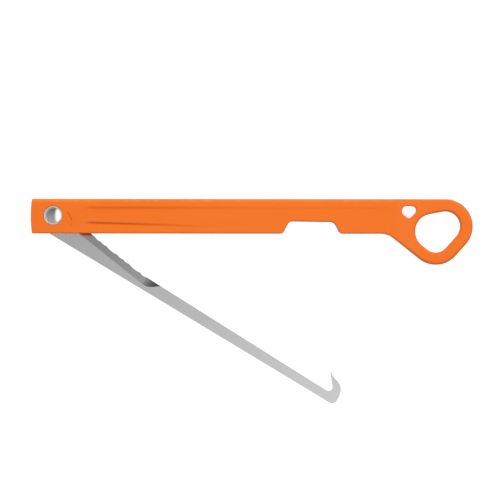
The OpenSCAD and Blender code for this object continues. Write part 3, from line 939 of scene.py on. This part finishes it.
def seat_sheets(k, slot_loop):
    """The rivet's seats, the lip's at the front and the backing ring's at the back, each with its mouth's
    rounding as a quarter circle, and the pivot's block of the face round it."""
    h, v = sizes("handle"), sizes("pivot")
    q = h.seat_round
    hole = tube_hole()
    lip_seat = BORE_R + v.wall + v.lip_w + v.seat_gap
    ring_seat = RING_HIGH.x + v.seat_gap
    sheets = []
    for seat, floor, side in ((lip_seat, RIVET_HIGH.z - v.lip_t, 1), (ring_seat, -RING_HIGH.z, -1)):
        a = np.linspace(0, np.pi / 2, 5)
        mouth = [(seat + q * (1 - np.sin(t)), HANDLE_HIGH.z - q * (1 - np.cos(t))) for t in a]
        bore = [(hole, floor), (hole, (floor + h.slot_half) / 2), (hole, h.slot_half)]
        wall = seat_wall(k.pivot_loop, slot_loop, mouth + [(seat, floor)] + bore)
        wall[:, -1] = wall[:, 0]
        disc = between(k.pivot_loop, wall[0, :, :2], np.linspace(0, 1, PIVOT_RINGS + 1))
        face = raised(disc, face_height(disc))
        face[-1, :, 2] = HANDLE_HIGH.z
        sheets += [wall * [1, 1, side], face * [1, 1, side]]
    return sheets


def handle_sheets():
    """All the sheets of the handle."""
    k = handle_paths()
    slot, slot_loop = slot_sheets(k)
    return face_sheets(k) + slot + seat_sheets(k, slot_loop)


def soften_nose(piece):
    """Rounds the nose's edges with a bevel that is weighted to them alone."""
    h = sizes("handle")
    mesh = piece.data
    co = np.zeros(len(mesh.vertices) * 3, np.float32)
    mesh.vertices.foreach_get("co", co)
    co = co.reshape(-1, 3).astype(float)
    ends = np.zeros(len(mesh.edges) * 2, np.int32)
    mesh.edges.foreach_get("vertices", ends)
    on_nose = np.abs(co[:, 0] - nose_x(co[:, 1])) < TOUCH
    top = HANDLE_HIGH.y - h.top_round
    low = -h.body_below + h.edge_round
    over = np.clip(co[:, 1] - top, 0, h.top_round)
    under = np.clip(low - co[:, 1], 0, h.edge_round)
    drop = h.top_round - np.sqrt(h.top_round**2 - over**2)
    drop = drop + h.edge_round - np.sqrt(h.edge_round**2 - under**2)
    outer = on_nose & (np.abs(co[:, 2]) > face_height(co[:, :2]) - drop - 2 * TOUCH)
    both = outer[ends].reshape(-1, 2).all(1)
    weights = mesh.attributes.new("bevel_weight_edge", "FLOAT", "EDGE")
    weights.data.foreach_set("value", both.astype(np.float32))
    bevel = piece.modifiers.new("nose_edges", "BEVEL")
    bevel.limit_method = "WEIGHT"
    bevel.width = h.nose_round
    bevel.segments = 4
    apply_all(piece)


def apply_all(piece):
    """Applies every modifier of a piece."""
    bpy.context.view_layer.objects.active = piece
    for modifier in list(piece.modifiers):
        bpy.ops.object.modifier_apply(modifier=modifier.name)


# The blade


def wheel_lift(along):
    """How far the grinding wheel's circle of radius w lifts the bevel at a distance along it, past its two
    ends by x: (w - sqrt(w^2 - x^2)) over the cosine of the bevel's angle; and whether x is past w."""
    b = sizes("blade")
    total = np.hypot(*bevel_line()[1]) + b.bevel_lead
    over = np.where(along > total, along - total, np.where(along < 0, -along, 0))
    wheel = np.where(along < 0, b.plunge_r, b.runout_r)
    inside = np.minimum(over, wheel)
    return (wheel - np.sqrt(wheel**2 - inside**2)) / math.cos(b.bevel), over >= wheel


def blade_depth(p):
    """How far the bevel lies below the blade's flat: the distance past the bevel's line times the
    tangent of its angle, less the wheel's lift, and nothing where the wheel doesn't reach."""
    b = sizes("blade")
    start, run = bevel_line()
    along = run / np.hypot(*run)
    past = p - start
    d = past @ np.array([-along[1], along[0]])
    lift, beyond = wheel_lift(past @ along + b.bevel_lead)
    return np.clip(d * math.tan(b.bevel) - np.where(beyond, 1.0, lift), 0, None)


def bevel_line():
    """Start of the bevel's inner line and its run."""
    b = sizes("blade")
    start = np.array([b.edge_start, b.edge_up - b.bevel_w])
    end = start + [edge_length(), b.bevel_w - b.edge_fall - b.bevel_end_w]
    return start, end - start


# Lengths of the hollows past the plain edge, in teeth
HOLLOWS = (1, 1, 2, 1, 1, 2, 1)
# Height of the step down from the last tooth, taken along the blade
ROOT_STEP = 0.0002
# Where the rows turn into the bend, back from the hook's end, and where its oval's two stretches end
BEND_BACK = 0.014
OVAL_STOPS = (25, 80)
# Share of a broken edge's width and drop at its middle, where a quarter circle stands at 45 degrees
BREAK_MIDDLE = 0.29
# Length past the cutting edge over which the rows still follow the bevel, and their line past it
RUNOUT_ROOM = 0.012
PLAIN_LINE = 0.93


def edge_length():
    """Length of the cutting edge: its plain part and a pitch for each tooth's worth of hollow."""
    b = sizes("blade")
    return b.edge_plain + b.pitch * sum(HOLLOWS)


def cutting_edge():
    """The plain edge and the teeth: each hollow is a shallow parabola, depth * 4 t (1 - t), across its
    chord."""
    b = sizes("blade")
    start = np.array([b.edge_start, b.edge_up])
    run = np.array([edge_length(), -b.edge_fall])
    along = run / np.hypot(*run)
    into = np.array([along[1], -along[0]])
    at = start + along * b.edge_plain
    parts = [line(start, at, 6)]
    for teeth in HOLLOWS:
        t = np.linspace(0, 1, 8 * teeth + 1)[:, None]
        depth = b.wide_depth if teeth > 1 else b.tooth_depth
        parts.append(at + along * b.pitch * teeth * t + into * depth * 4 * t * (1 - t))
        at = parts[-1][-1]
    return join(*parts)


def hook_curves():
    """The blade's two edges as matched paths, from the tang's column to the tip: the one with the
    cutting edge, throat and barb, and the one with the spine and the bend's oval."""
    b = sizes("blade")
    spine = -b.spine
    teeth = cutting_edge()
    kick = np.array([b.kick_l, b.kick_up])
    t = (COLUMN_X - kick[0]) / (teeth[0][0] - kick[0])
    entry = kick * (1 - t) + teeth[0] * t
    throat = np.array([b.reach - b.stem - b.throat_r, spine + b.arm_end_h + b.throat_r])
    tip = np.array([b.reach - b.tip_back, b.tip_up - b.tip_round])
    foot = np.array([b.reach - b.foot_back, b.foot_up])
    root = np.array([teeth[-1][0] + ROOT_STEP, spine + b.arm_h])
    arm = touch_angle(root, 0, throat, b.throat_r)
    barb = touch_angle(throat, b.throat_r, tip, -b.tip_round)
    outer = touch_angle(tip, b.tip_round, foot, 0, -1)
    top = (barb + 180 + outer) / 2
    throat_start = on_circle(throat, b.throat_r, arm)
    bend_u = b.reach - BEND_BACK
    t = (bend_u - root[0]) / (throat_start[0] - root[0])
    bend_start = root * (1 - t) + throat_start * t
    straight = join(
        line(entry, teeth[0], 5), teeth, line(teeth[-1], root, 1), line(root, bend_start, 70)
    )
    inner = join(
        straight, line(bend_start, throat_start, 8), arc(throat, b.throat_r, arm, barb, 18),
        line(on_circle(throat, b.throat_r, barb), on_circle(tip, b.tip_round, barb + 180), 14),
        arc(tip, b.tip_round, barb + 180, top, 5),
    )
    bend = np.array([b.reach - b.bend_w, -b.bend_drop])

    def oval(start, end, count):
        a = np.radians(np.linspace(start, end, count + 1))
        return bend + np.stack([b.bend_w * np.cos(a), b.bend_h * np.sin(a)], -1)

    corner = rounded((0, spine), (b.reach, spine), (b.reach, 0), b.corner, 9)
    shoulder = oval(*OVAL_STOPS, 8)
    back = join(
        np.stack([straight[:, 0], np.full(len(straight), spine)], -1),
        line((straight[-1, 0], spine), corner[0], 8), corner, line(corner[-1], bend + [b.bend_w, 0], 3),
        oval(0, OVAL_STOPS[0], 6), shoulder, line(shoulder[-1], foot, 3),
        line(foot, on_circle(tip, b.tip_round, outer), 3), arc(tip, b.tip_round, outer, top, 5),
    )
    return inner, back


def crease_shares(inner, back):
    """Where each row across the blade meets the bevel's inner line, as a distance from the spine: the
    line's height plus the distance that the grinding wheel's circle holds it off, found by repetition."""
    b = sizes("blade")
    start, run = bevel_line()
    along = run / np.hypot(*run)
    base = start[1] + (inner[:, 0] - start[0]) * run[1] / run[0]
    v = base.copy()
    for _ in range(6):
        lift, _beyond = wheel_lift((np.stack([inner[:, 0], v], -1) - start) @ along + b.bevel_lead)
        v = base + lift / math.tan(b.bevel) / along[0]
    return np.clip(v - back[:, 1], 0, np.hypot(*(inner - back).T))


def blade_rows(inner, back):
    """Points across the blade, column by column: from the spine's broken edge to the bevel's line and on
    to the other broken edge, each with how much the broken edge lowers it."""
    b = sizes("blade")
    width = np.hypot(*(inner - back).T)
    e = np.minimum(b.edge_break, 0.1 * width)
    straight = inner[:, 0] < b.edge_start + edge_length() + RUNOUT_ROOM
    beyond = np.cumsum(~straight) > 0
    crease = np.where(beyond, width * PLAIN_LINE, crease_shares(inner, back))
    crease = np.clip(crease, 0.2 * width, width - 2.2 * e)
    soft = np.array([0, BREAK_MIDDLE])[:, None]
    lower = e + (crease - e) * np.linspace(0, 1, 13)[:, None]
    upper = crease + (width - e - crease) * np.linspace(0, 1, 9)[1:, None]
    at = np.concatenate([soft * e, lower, upper, width - soft[::-1] * e])
    drop = np.zeros_like(at)
    drop[0] = drop[-1] = e
    drop[1] = drop[-2] = BREAK_MIDDLE * e
    t = at / np.maximum(width, 1e-9)
    return back[None] * (1 - t[..., None]) + inner[None] * t[..., None], drop


def tang_loop(column):
    """The tang's outline round the pivot, counter-clockwise from the spine at the column: up the
    column, back along the kick, round the tang, down to the heel and along the spine."""
    b = sizes("blade")
    kick_start = math.degrees(math.asin(b.kick_up / b.tang_r))
    heel = rounded((-b.tang_r, 0), (-b.tang_r, -b.spine), (0, -b.spine), b.heel_round, 8)
    return join(
        column, line(column[-1], (b.kick_l, b.kick_up), 1),
        line((b.kick_l, b.kick_up), on_circle((0, 0), b.tang_r, kick_start), 4),
        arc((0, 0), b.tang_r, kick_start, 180, 30), line((-b.tang_r, 0), heel[0], 6), heel,
        line(heel[-1], column[0], 16),
    )


def blade_sheets():
    """All the sheets of the blade: both faces, the tang's discs and the walls round them."""
    b = sizes("blade")
    inner, back = hook_curves()
    half = BLADE_HIGH.z
    rows, drop = blade_rows(inner, back)
    face = raised(rows, half - blade_depth(rows) - drop)
    column = face[:, 0]
    loop = tang_loop(rows[:, 0])
    count = len(column)
    e = b.edge_break
    bore = ring_points(b.bore_r + e, loop)
    outward = loop - bore
    reach = np.hypot(*outward.T)[:, None]
    steps = np.concatenate([[0, BREAK_MIDDLE * e, e], np.linspace(e, reach.min(), 9)[1:]])
    t = steps[:, None] / reach.T
    t = np.concatenate([t[:3], t[2] + (1 - t[2]) * np.linspace(0, 1, 9)[1:, None]])
    plan = loop[None] * (1 - t[..., None]) + bore[None] * t[..., None]
    lowered = np.zeros(plan.shape[:2])
    lowered[0, count - 1:] = e
    lowered[1, count - 1:] = BREAK_MIDDLE * e
    lowered[:, 0] = lowered[:, -1]
    disc = raised(plan, half - blade_depth(plan) - lowered)
    disc[0, :count] = column
    disc[0, -1] = column[0]
    a = np.linspace(0, np.pi / 2, 4)[:, None]
    angles = bearings_of(loop, (0, 0))
    mouth_r = b.bore_r + e * (1 - np.sin(a))
    mouth = raised(
        mouth_r[..., None] * np.stack([np.cos(angles), np.sin(angles)], -1)[None],
        half - e * (1 - np.cos(a)),
    )
    sheets = [face, disc, mouth]
    sheets += [flipped(s) for s in sheets]
    for edge in (face[0], face[-1], disc[0, count - 1:], mouth[-1]):
        sheets.append(between(edge, flipped(edge), (0, 0.5, 1)))
    return sheets


def turned(sheet):
    """A sheet in the blade's axes turned to where the blade stands open."""
    a = -math.radians(FOLD["range_deg"][1])
    x, y, z = np.moveaxis(sheet, -1, 0)
    return np.stack([x * math.cos(a) - y * math.sin(a), x * math.sin(a) + y * math.cos(a), z], -1)


def grind_depth(points):
    """Depth below the blade's flat at each point, in millimetres."""
    return (BLADE_HIGH.z - np.abs(points[:, 2])) * 1000


# The rivet and its rings


def rivet_profile():
    """Closed section of the hollow rivet: its tube with a lip rolled outwards at each end, which falls to
    the bore as a quarter of an ellipse."""
    v = sizes("pivot")
    tube = BORE_R + v.wall
    lip_r = tube + v.lip_w
    top = RIVET_HIGH.z
    crest = lip_r - v.lip_round
    flare = (crest, top - v.flare) + arc((0, 0), 1, 90, 180, 12) * [crest - BORE_R, v.flare]
    upper = np.concatenate([
        [(tube, 0), (tube, top - v.lip_t), (lip_r, top - v.lip_t)],
        arc((crest, top - v.lip_round), v.lip_round, 0, 90, 8), flare,
    ])
    return np.concatenate([upper, upper[:0:-1] * [1, -1]])


def ring_profile():
    """Closed section of the backing ring: a flat bar with its outer edges rounded."""
    v = sizes("pivot")
    inner = BORE_R + v.wall + v.seat_gap
    q = v.ring_round
    low, high = RING_LOW.z, RING_HIGH.z
    return np.concatenate([
        [(inner, high), (inner, low)],
        arc((RING_HIGH.x - q, low + q), q, -90, 0, 5), arc((RING_HIGH.x - q, high - q), q, 0, 90, 5),
    ])


# Materials


class Nodes:
    """The node tree of a material or a world, with short calls that add a node and link its inputs."""

    def __init__(self, owner):
        self.owner = owner
        owner.use_nodes = True
        self.tree = owner.node_tree
        self.tree.nodes.clear()

    def put(self, socket, value):
        """Gives an input a value, or another node's output."""
        if isinstance(value, bpy.types.NodeSocket):
            self.tree.links.new(value, socket)
        else:
            socket.default_value = value

    def add(self, kind, settings=None, **inputs):
        """A node of a kind, with settings and with inputs by name, or by number as i0, i1 and so on."""
        node = self.tree.nodes.new(kind)
        for key, value in (settings or {}).items():
            setattr(node, key, value)
        for key, value in inputs.items():
            self.put(node.inputs[int(key[1:]) if key[1:].isdigit() else key], value)
        return node

    def where(self, output="Object"):
        """The place of the point that is shaded."""
        return self.add("ShaderNodeTexCoord").outputs[output]

    def value(self, name):
        """A mesh attribute."""
        return self.add("ShaderNodeAttribute", {"attribute_name": name}).outputs["Fac"]

    def noise(self, coordinates, scale, detail=3.0, roughness=0.5):
        """Noise between about 0 and 1 at a scale in waves a metre."""
        return self.add(
            "ShaderNodeTexNoise", Vector=coordinates, Scale=scale, Detail=detail, Roughness=roughness
        ).outputs["Fac"]

    def turned(self, coordinates, **changes):
        """Coordinates that are scaled or turned."""
        return self.add("ShaderNodeMapping", Vector=coordinates, **changes).outputs[0]

    def maths(self, operation, a, b):
        """Two numbers brought together."""
        return self.add("ShaderNodeMath", {"operation": operation}, i0=a, i1=b).outputs[0]

    def distance(self, coordinates, point):
        """Distance from a point."""
        node = self.add("ShaderNodeVectorMath", {"operation": "DISTANCE"}, i0=coordinates, i1=point)
        return node.outputs["Value"]

    def ramp(self, value, low, high, to_low=0.0, to_high=1.0):
        """A value mapped from one range to another and clamped."""
        node = self.add("ShaderNodeMapRange", i0=value, i1=low, i2=high, i3=to_low, i4=to_high)
        return node.outputs[0]

    def mix(self, factor, a, b):
        """A colour mixed from two."""
        return self.add("ShaderNodeMix", {"data_type": "RGBA"}, i0=factor, i6=a, i7=b).outputs[2]

    def blend(self, factor, a, b):
        """A number mixed from two."""
        return self.add("ShaderNodeMix", {"data_type": "FLOAT"}, i0=factor, i2=a, i3=b).outputs[0]

    def bump(self, height, distance, strength=1.0, **base):
        """A bump of a real height in metres, on another's normal where one is given."""
        return self.add(
            "ShaderNodeBump", Height=height, Distance=distance, Strength=strength, **base
        ).outputs[0]

    def end(self, kind, shader):
        """Ends the tree in an output node of a kind, and gives what it belongs to."""
        self.add(kind, i0=shader.outputs[0])
        return self.owner

    def finish(self, **inputs):
        """Ends a material's tree in one Principled shader."""
        inputs = {key.replace("_", " "): value for key, value in inputs.items()}
        return self.end("ShaderNodeOutputMaterial", self.add("ShaderNodeBsdfPrincipled", **inputs))


def material(name):
    """The nodes of the material of a name, which the frame may have brought."""
    return Nodes(bpy.data.materials.get(name) or bpy.data.materials.new(name))


def rgba(values):
    """A colour property as four numbers."""
    return (*values, 1.0)


def moulded_orange():
    """Satin moulded nylon: two close oranges in soft flow marks, a fine grain, rubbed edges and painted shade."""
    f = sizes("finish")
    n = material("moulded_orange")
    where = n.where()
    drawn = n.turned(where, Scale=(0.25, 1.0, 1.0))
    flow = n.noise(drawn, 90, 4, 0.55)
    clean = n.mix(n.ramp(flow, 0.3, 0.7), rgba(f.orange_deep), rgba(f.orange))
    patchy = n.noise(where, 260, 5, 0.6)
    rubbed = n.maths("MULTIPLY", n.ramp(n.value("rub"), 0.2, 1.0), n.ramp(patchy, 0.42, 0.72))
    worn = n.mix(rubbed, clean, rgba(f.orange_worn))
    # Painted shade, with some dirt in the groove, darkens the grooves, the seats and the shaded edges and dulls
    # their shine
    grime = n.value("grime")
    base = n.mix(grime, worn, rgba(f.orange_shaded))
    fine = n.bump(n.noise(where, 3200, 2, 0.6), 0.00002, 0.35)
    normal = n.bump(n.noise(drawn, 60, 2, 0.4), 0.00004, 0.35, Normal=fine)
    gloss = n.ramp(patchy, 0.2, 0.8, f.handle_gloss - 0.05, f.handle_gloss + 0.06)
    shine = n.ramp(grime, 0, 1, f.handle_shine, f.handle_shine * 0.2)
    return n.finish(Base_Color=base, Roughness=gloss, Normal=normal, Specular_IOR_Level=shine)


def blade_steel():
    """Brushed stainless steel, with fine lines along the blade, and a bevel ground across its edge."""
    f = sizes("finish")
    n = material("blade_steel")
    own = n.turned(n.where(), Rotation=(0, 0, math.radians(FOLD["range_deg"][1])))
    brushed = n.noise(n.turned(own, Scale=(0.02, 1.0, 1.0)), 3600, 3, 0.6)
    wheel = n.noise(n.turned(own, Scale=(1.0, 0.05, 0.05)), 3800, 3, 0.65)
    ground = n.ramp(n.value("grind"), 0.012, 0.03)
    cloud = n.noise(own, 120, 4, 0.6)
    flat_colour = n.mix(n.ramp(cloud, 0.3, 0.7, 0.0, 0.08), rgba(f.steel), rgba(f.ground))
    bevel_colour = n.mix(n.ramp(wheel, 0.3, 0.7, 0.0, 0.3), rgba(f.ground), rgba(f.steel))
    base = n.mix(ground, flat_colour, bevel_colour)
    flat_gloss = n.ramp(brushed, 0.25, 0.75, f.blade_gloss - 0.015, f.blade_gloss + 0.02)
    bevel_gloss = n.ramp(wheel, 0.25, 0.75, f.ground_gloss - 0.02, f.ground_gloss + 0.03)
    gloss = n.blend(ground, flat_gloss, bevel_gloss)
    normal = n.bump(n.blend(ground, brushed, wheel), 0.0000006, 0.5)
    return n.finish(Base_Color=base, Metallic=1.0, Roughness=gloss, Normal=normal)


def rivet_steel():
    """Bright rolled steel with faint turning lines round the pivot."""
    f = sizes("finish")
    n = material("rivet_steel")
    where = n.where()
    radius = n.add("ShaderNodeVectorMath", {"operation": "LENGTH"}, i0=where).outputs["Value"]
    turning = n.noise(n.add("ShaderNodeCombineXYZ", X=radius).outputs[0], 9000, 2, 0.5)
    spots = n.noise(where, 900, 4, 0.6)
    gloss = n.ramp(spots, 0.3, 0.75, f.rivet_gloss, f.rivet_gloss + 0.12)
    base = n.mix(n.ramp(spots, 0.4, 0.8, 0.0, 0.3), rgba(f.bright), rgba(f.ground))
    return n.finish(Base_Color=base, Metallic=1.0, Roughness=gloss, Normal=n.bump(turning, 0.000003, 0.4))


def washer_plastic():
    """Off-white bearing plastic, a little stained."""
    f = sizes("finish")
    n = material("washer_plastic")
    where = n.where()
    stain_and_shade = n.ramp(n.noise(where, 420, 4, 0.6), 0.45, 0.8, 0.0, 0.5)
    base = n.mix(stain_and_shade, rgba(f.washer), rgba(f.washer_stain))
    grain = n.noise(where, 5000, 2, 0.5)
    return n.finish(Base_Color=base, Roughness=0.5, Normal=n.bump(grain, 0.00001, 0.3))


# The floor seen through the rivet, painted light and painted shade in place of the lamps' light and shadow
# through its bore: where it starts, from what radius to what radius, how soft the painted pool of light's
# edge is, and the glow of the painted shade at the near and the far end of that stretch
HIDDEN_FLOOR = (0.0068, 0.0072)
PAINTED_POOL_SOFT = 0.0008
PAINTED_SHADE_SPAN = (-BORE_R, BORE_R * 0.7)
PAINTED_SHADE_GLOW = (0.3, 0.04)


def floor_white():
    """A matt white floor that reads white to the camera and in reflections and keeps its shadows: part
    of its light is its own, so what the lamps leave out is what darkens. Under the rivet, where the
    handle hides all but what the rivet's bore shows, it has painted light and painted shade in place of
    the lamps' light and shadow through the bore: it glows fully only in a round patch to one side, and
    elsewhere faintly, darker towards the top."""
    g = sizes("stage")
    n = material("floor_white")
    path = n.add("ShaderNodeLightPath").outputs
    seen = n.maths("MAXIMUM", path["Is Camera Ray"], path["Is Glossy Ray"])
    seen = n.maths("MAXIMUM", seen, path["Is Transmission Ray"])
    where = n.where()
    open_floor = n.ramp(n.distance(where, (0, 0, CAD_BOX[0].z)), *HIDDEN_FLOOR, 0.0, g.glow)
    # Painted shade, darker towards the top, and a painted pool of light to one side of the rivet
    y = n.add("ShaderNodeSeparateXYZ", Vector=where).outputs["Y"]
    shaded = n.ramp(y, *PAINTED_SHADE_SPAN, *PAINTED_SHADE_GLOW)
    from_spot = n.distance(where, (g.painted_pool_x, 0, CAD_BOX[0].z))
    patch = n.ramp(from_spot, g.painted_pool_r - PAINTED_POOL_SOFT, g.painted_pool_r + PAINTED_POOL_SOFT, 1.0, shaded)
    strength = n.maths("MULTIPLY", seen, n.maths("MAXIMUM", open_floor, patch))
    matt = n.add("ShaderNodeBsdfDiffuse", Color=rgba([g.floor_white] * 3))
    light = n.add("ShaderNodeEmission", Color=(1.0, 1.0, 1.0, 1.0), Strength=strength)
    both = n.add("ShaderNodeAddShader", i0=matt.outputs[0], i1=light.outputs[0])
    return n.end("ShaderNodeOutputMaterial", both)


# Operators

# Angles in degrees past which faces meet in a crease
PLASTIC_CREASE = 40
STEEL_CREASE = 40
BLADE_CREASE = 9
WASHER_CREASE = 50
# Places of the two lights off the picture's middle, and their sides
TOP_LIGHT = ((-0.1, 1.25, 0.8), 0.7)
FILL_LIGHT = ((1.1, 0.15, 0.6), 0.8)


class MakeHandle(bpy.types.Operator):
    """Make the moulded handle"""

    bl_idname = "ice_hook.handle"
    bl_label = "Handle"
    bl_options = {"REGISTER", "UNDO"}

    def execute(self, context):
        # Each point carries how rubbed it is, and how much painted shade, with some dirt in the groove, darkens it
        piece = solid("handle_moulding", handle_sheets(), PLASTIC_CREASE, rub=rub, grime=shade_and_dirt_at)
        soften_nose(piece)
        shade(piece.data, PLASTIC_CREASE)
        dress(piece, "handle", moulded_orange(), "moulded_orange", "handle")
        return {"FINISHED"}


class MakeBlade(bpy.types.Operator):
    """Make the hook blade"""

    bl_idname = "ice_hook.blade"
    bl_label = "Hook blade"
    bl_options = {"REGISTER", "UNDO"}

    def execute(self, context):
        sheets = [turned(s) for s in blade_sheets()]
        piece = solid("hook_blade_steel", sheets, BLADE_CREASE, grind=grind_depth)
        dress(piece, "hook", blade_steel(), "blade_steel", "hook_blade")
        return {"FINISHED"}


class MakeRivet(bpy.types.Operator):
    """Make the hollow rivet and its backing ring"""

    bl_idname = "ice_hook.rivet"
    bl_label = "Rivet and backing ring"
    bl_options = {"REGISTER", "UNDO"}

    def execute(self, context):
        steel = rivet_steel()
        rivet = solid("rivet_tube", [lathe(rivet_profile())], STEEL_CREASE)
        dress(rivet, "handle", steel, "rivet_steel", "pivot_rivet")
        ring = solid("backing_ring", [lathe(ring_profile())], STEEL_CREASE)
        dress(ring, "handle", steel, "rivet_steel", "rivet_backing_ring")
        return {"FINISHED"}


class DressWashers(bpy.types.Operator):
    """Give the two washers their plastic and break their edges"""

    bl_idname = "ice_hook.washers"
    bl_label = "Washers"
    bl_options = {"REGISTER", "UNDO"}

    def execute(self, context):
        plastic = washer_plastic()
        for name in ("front_washer", "back_washer"):
            washer = frame["nodes"][name]
            washer.data.materials.clear()
            washer.data.materials.append(plastic)
            welded = washer.modifiers.new("weld", "WELD")
            welded.merge_threshold = TOUCH
            bevel = washer.modifiers.new("broken_edges", "BEVEL")
            bevel.width = context.scene.ice_hook.pivot.washer_break
            bevel.segments = 2
            bevel.limit_method = "ANGLE"
            bevel.angle_limit = math.radians(WASHER_CREASE)
        return {"FINISHED"}


def area_light(name, offset, size, target, watts):
    """A square area light that stands off a point and faces it. Metal doesn't show its outline."""
    data = bpy.data.lights.new(name, "AREA")
    data.shape = "SQUARE"
    data.size = size
    data.energy = watts
    lamp = bpy.data.objects.new(name, data)
    bpy.context.scene.collection.objects.link(lamp)
    lamp.location = target + Vector(offset)
    lamp.visible_camera = False
    lamp.visible_glossy = False
    lamp.rotation_euler = (target - lamp.location).to_track_quat("-Z", "Y").to_euler()


def direction(tilt, turn):
    """Unit vector at an angle off the vertical and a direction in plan."""
    return Vector((math.cos(turn) * math.sin(tilt), math.sin(turn) * math.sin(tilt), math.cos(tilt)))


def studio_world():
    """A white dome with a dim cap overhead, a dim foot and a dim horizon: the brightness follows the angle
    from the cap's middle, which stands off the vertical, times a share that grows with the height."""
    g = sizes("stage")
    world = bpy.data.worlds.new("studio")
    bpy.context.scene.world = world
    n = Nodes(world)
    where = n.where("Generated")
    middle = direction(g.cap_tilt, g.cap_turn)
    cosine = n.add("ShaderNodeVectorMath", {"operation": "DOT_PRODUCT"}, i0=where, i1=middle)
    level = n.add("ShaderNodeValToRGB", i0=n.ramp(cosine.outputs["Value"], -1, 1))
    bands = (
        (g.ring_end + g.ring_fade, g.dome_low), (g.ring_end, 1.0), (g.cap_size, 1.0),
        (g.cap_mid, g.cap_half), (0, g.cap),
    )
    stops = level.color_ramp.elements
    while len(stops) < len(bands):
        stops.new(0.5)
    for stop, (away, value) in zip(stops, bands):
        stop.position = (1 + math.cos(away)) / 2
        stop.color = (value, value, value, 1.0)
    up = n.add("ShaderNodeSeparateXYZ", i0=where).outputs["Z"]
    height = n.ramp(up, 0, math.sin(g.horizon_end), g.horizon, 1)
    both = n.add("ShaderNodeVectorMath", {"operation": "MULTIPLY"}, i0=level.outputs[0], i1=height)
    background = n.add("ShaderNodeBackground", Color=both.outputs[0], Strength=g.dome)
    n.end("ShaderNodeOutputWorld", background)


class MakeStage(bpy.types.Operator):
    """Make the floor, the lights and the camera"""

    bl_idname = "ice_hook.stage"
    bl_label = "Stage"
    bl_options = {"REGISTER", "UNDO"}

    def execute(self, context):
        g = context.scene.ice_hook.stage
        mesh = bpy.data.meshes.new("floor")
        half = g.floor_size / 2
        z = CAD_BOX[0].z
        corners = [(-half, -half, z), (half, -half, z), (half, half, z), (-half, half, z)]
        mesh.from_pydata(corners, [], [(0, 1, 2, 3)])
        floor = bpy.data.objects.new("floor", mesh)
        context.scene.collection.objects.link(floor)
        mesh.materials.append(floor_white())
        centre = Vector((g.view_x, -g.view_down, 0))
        area_light("top", *TOP_LIGHT, centre, g.top_power)
        area_light("fill", *FILL_LIGHT, centre, g.fill_power)
        data = bpy.data.cameras.new("camera")
        data.sensor_width = g.lens_sensor
        data.lens = g.lens_sensor * g.camera_up / g.view_width
        camera = bpy.data.objects.new("camera", data)
        context.scene.collection.objects.link(camera)
        camera.location = centre + Vector((0, 0, g.camera_up))
        camera.rotation_euler.z = g.view_roll
        context.scene.camera = camera
        studio_world()
        context.scene.view_settings.view_transform = "Standard"
        return {"FINISHED"}


class HookPanel(bpy.types.Panel):
    """The pieces and their sizes in the sidebar"""

    bl_idname = "VIEW3D_PT_ice_hook"
    bl_label = "Folding ice anchor hook"
    bl_space_type = "VIEW_3D"
    bl_region_type = "UI"
    bl_category = "Ice Hook"

    def draw(self, context):
        for step in STEPS:
            self.layout.operator(step.bl_idname)
        for group in HookProperties.__annotations__:
            box = self.layout.box()
            box.label(text=group.capitalize())
            values = getattr(context.scene.ice_hook, group)
            for key in type(values).__annotations__:
                box.prop(values, key)


STEPS = (MakeStage, MakeHandle, MakeBlade, MakeRivet, DressWashers)
GROUPS = (
    HandleSizes, NotchSizes, EyeSizes, ReliefSizes, BladeSizes, PivotSizes, Finishes, StageSizes,
    HookProperties,
)


def register():
    """Registers the classes and gives the scene its sizes."""
    for cls in (*GROUPS, *STEPS, HookPanel):
        bpy.utils.register_class(cls)
    bpy.types.Scene.ice_hook = bpy.props.PointerProperty(type=HookProperties)


def unregister():
    """Undoes register."""
    del bpy.types.Scene.ice_hook
    for cls in (HookPanel, *reversed(STEPS), *reversed(GROUPS)):
        bpy.utils.unregister_class(cls)


def main():
    register()
    bpy.ops.ice_hook.stage()
    bpy.ops.ice_hook.handle()
    bpy.ops.ice_hook.blade()
    bpy.ops.ice_hook.rivet()
    bpy.ops.ice_hook.washers()


if __name__ == "__main__":
    main()
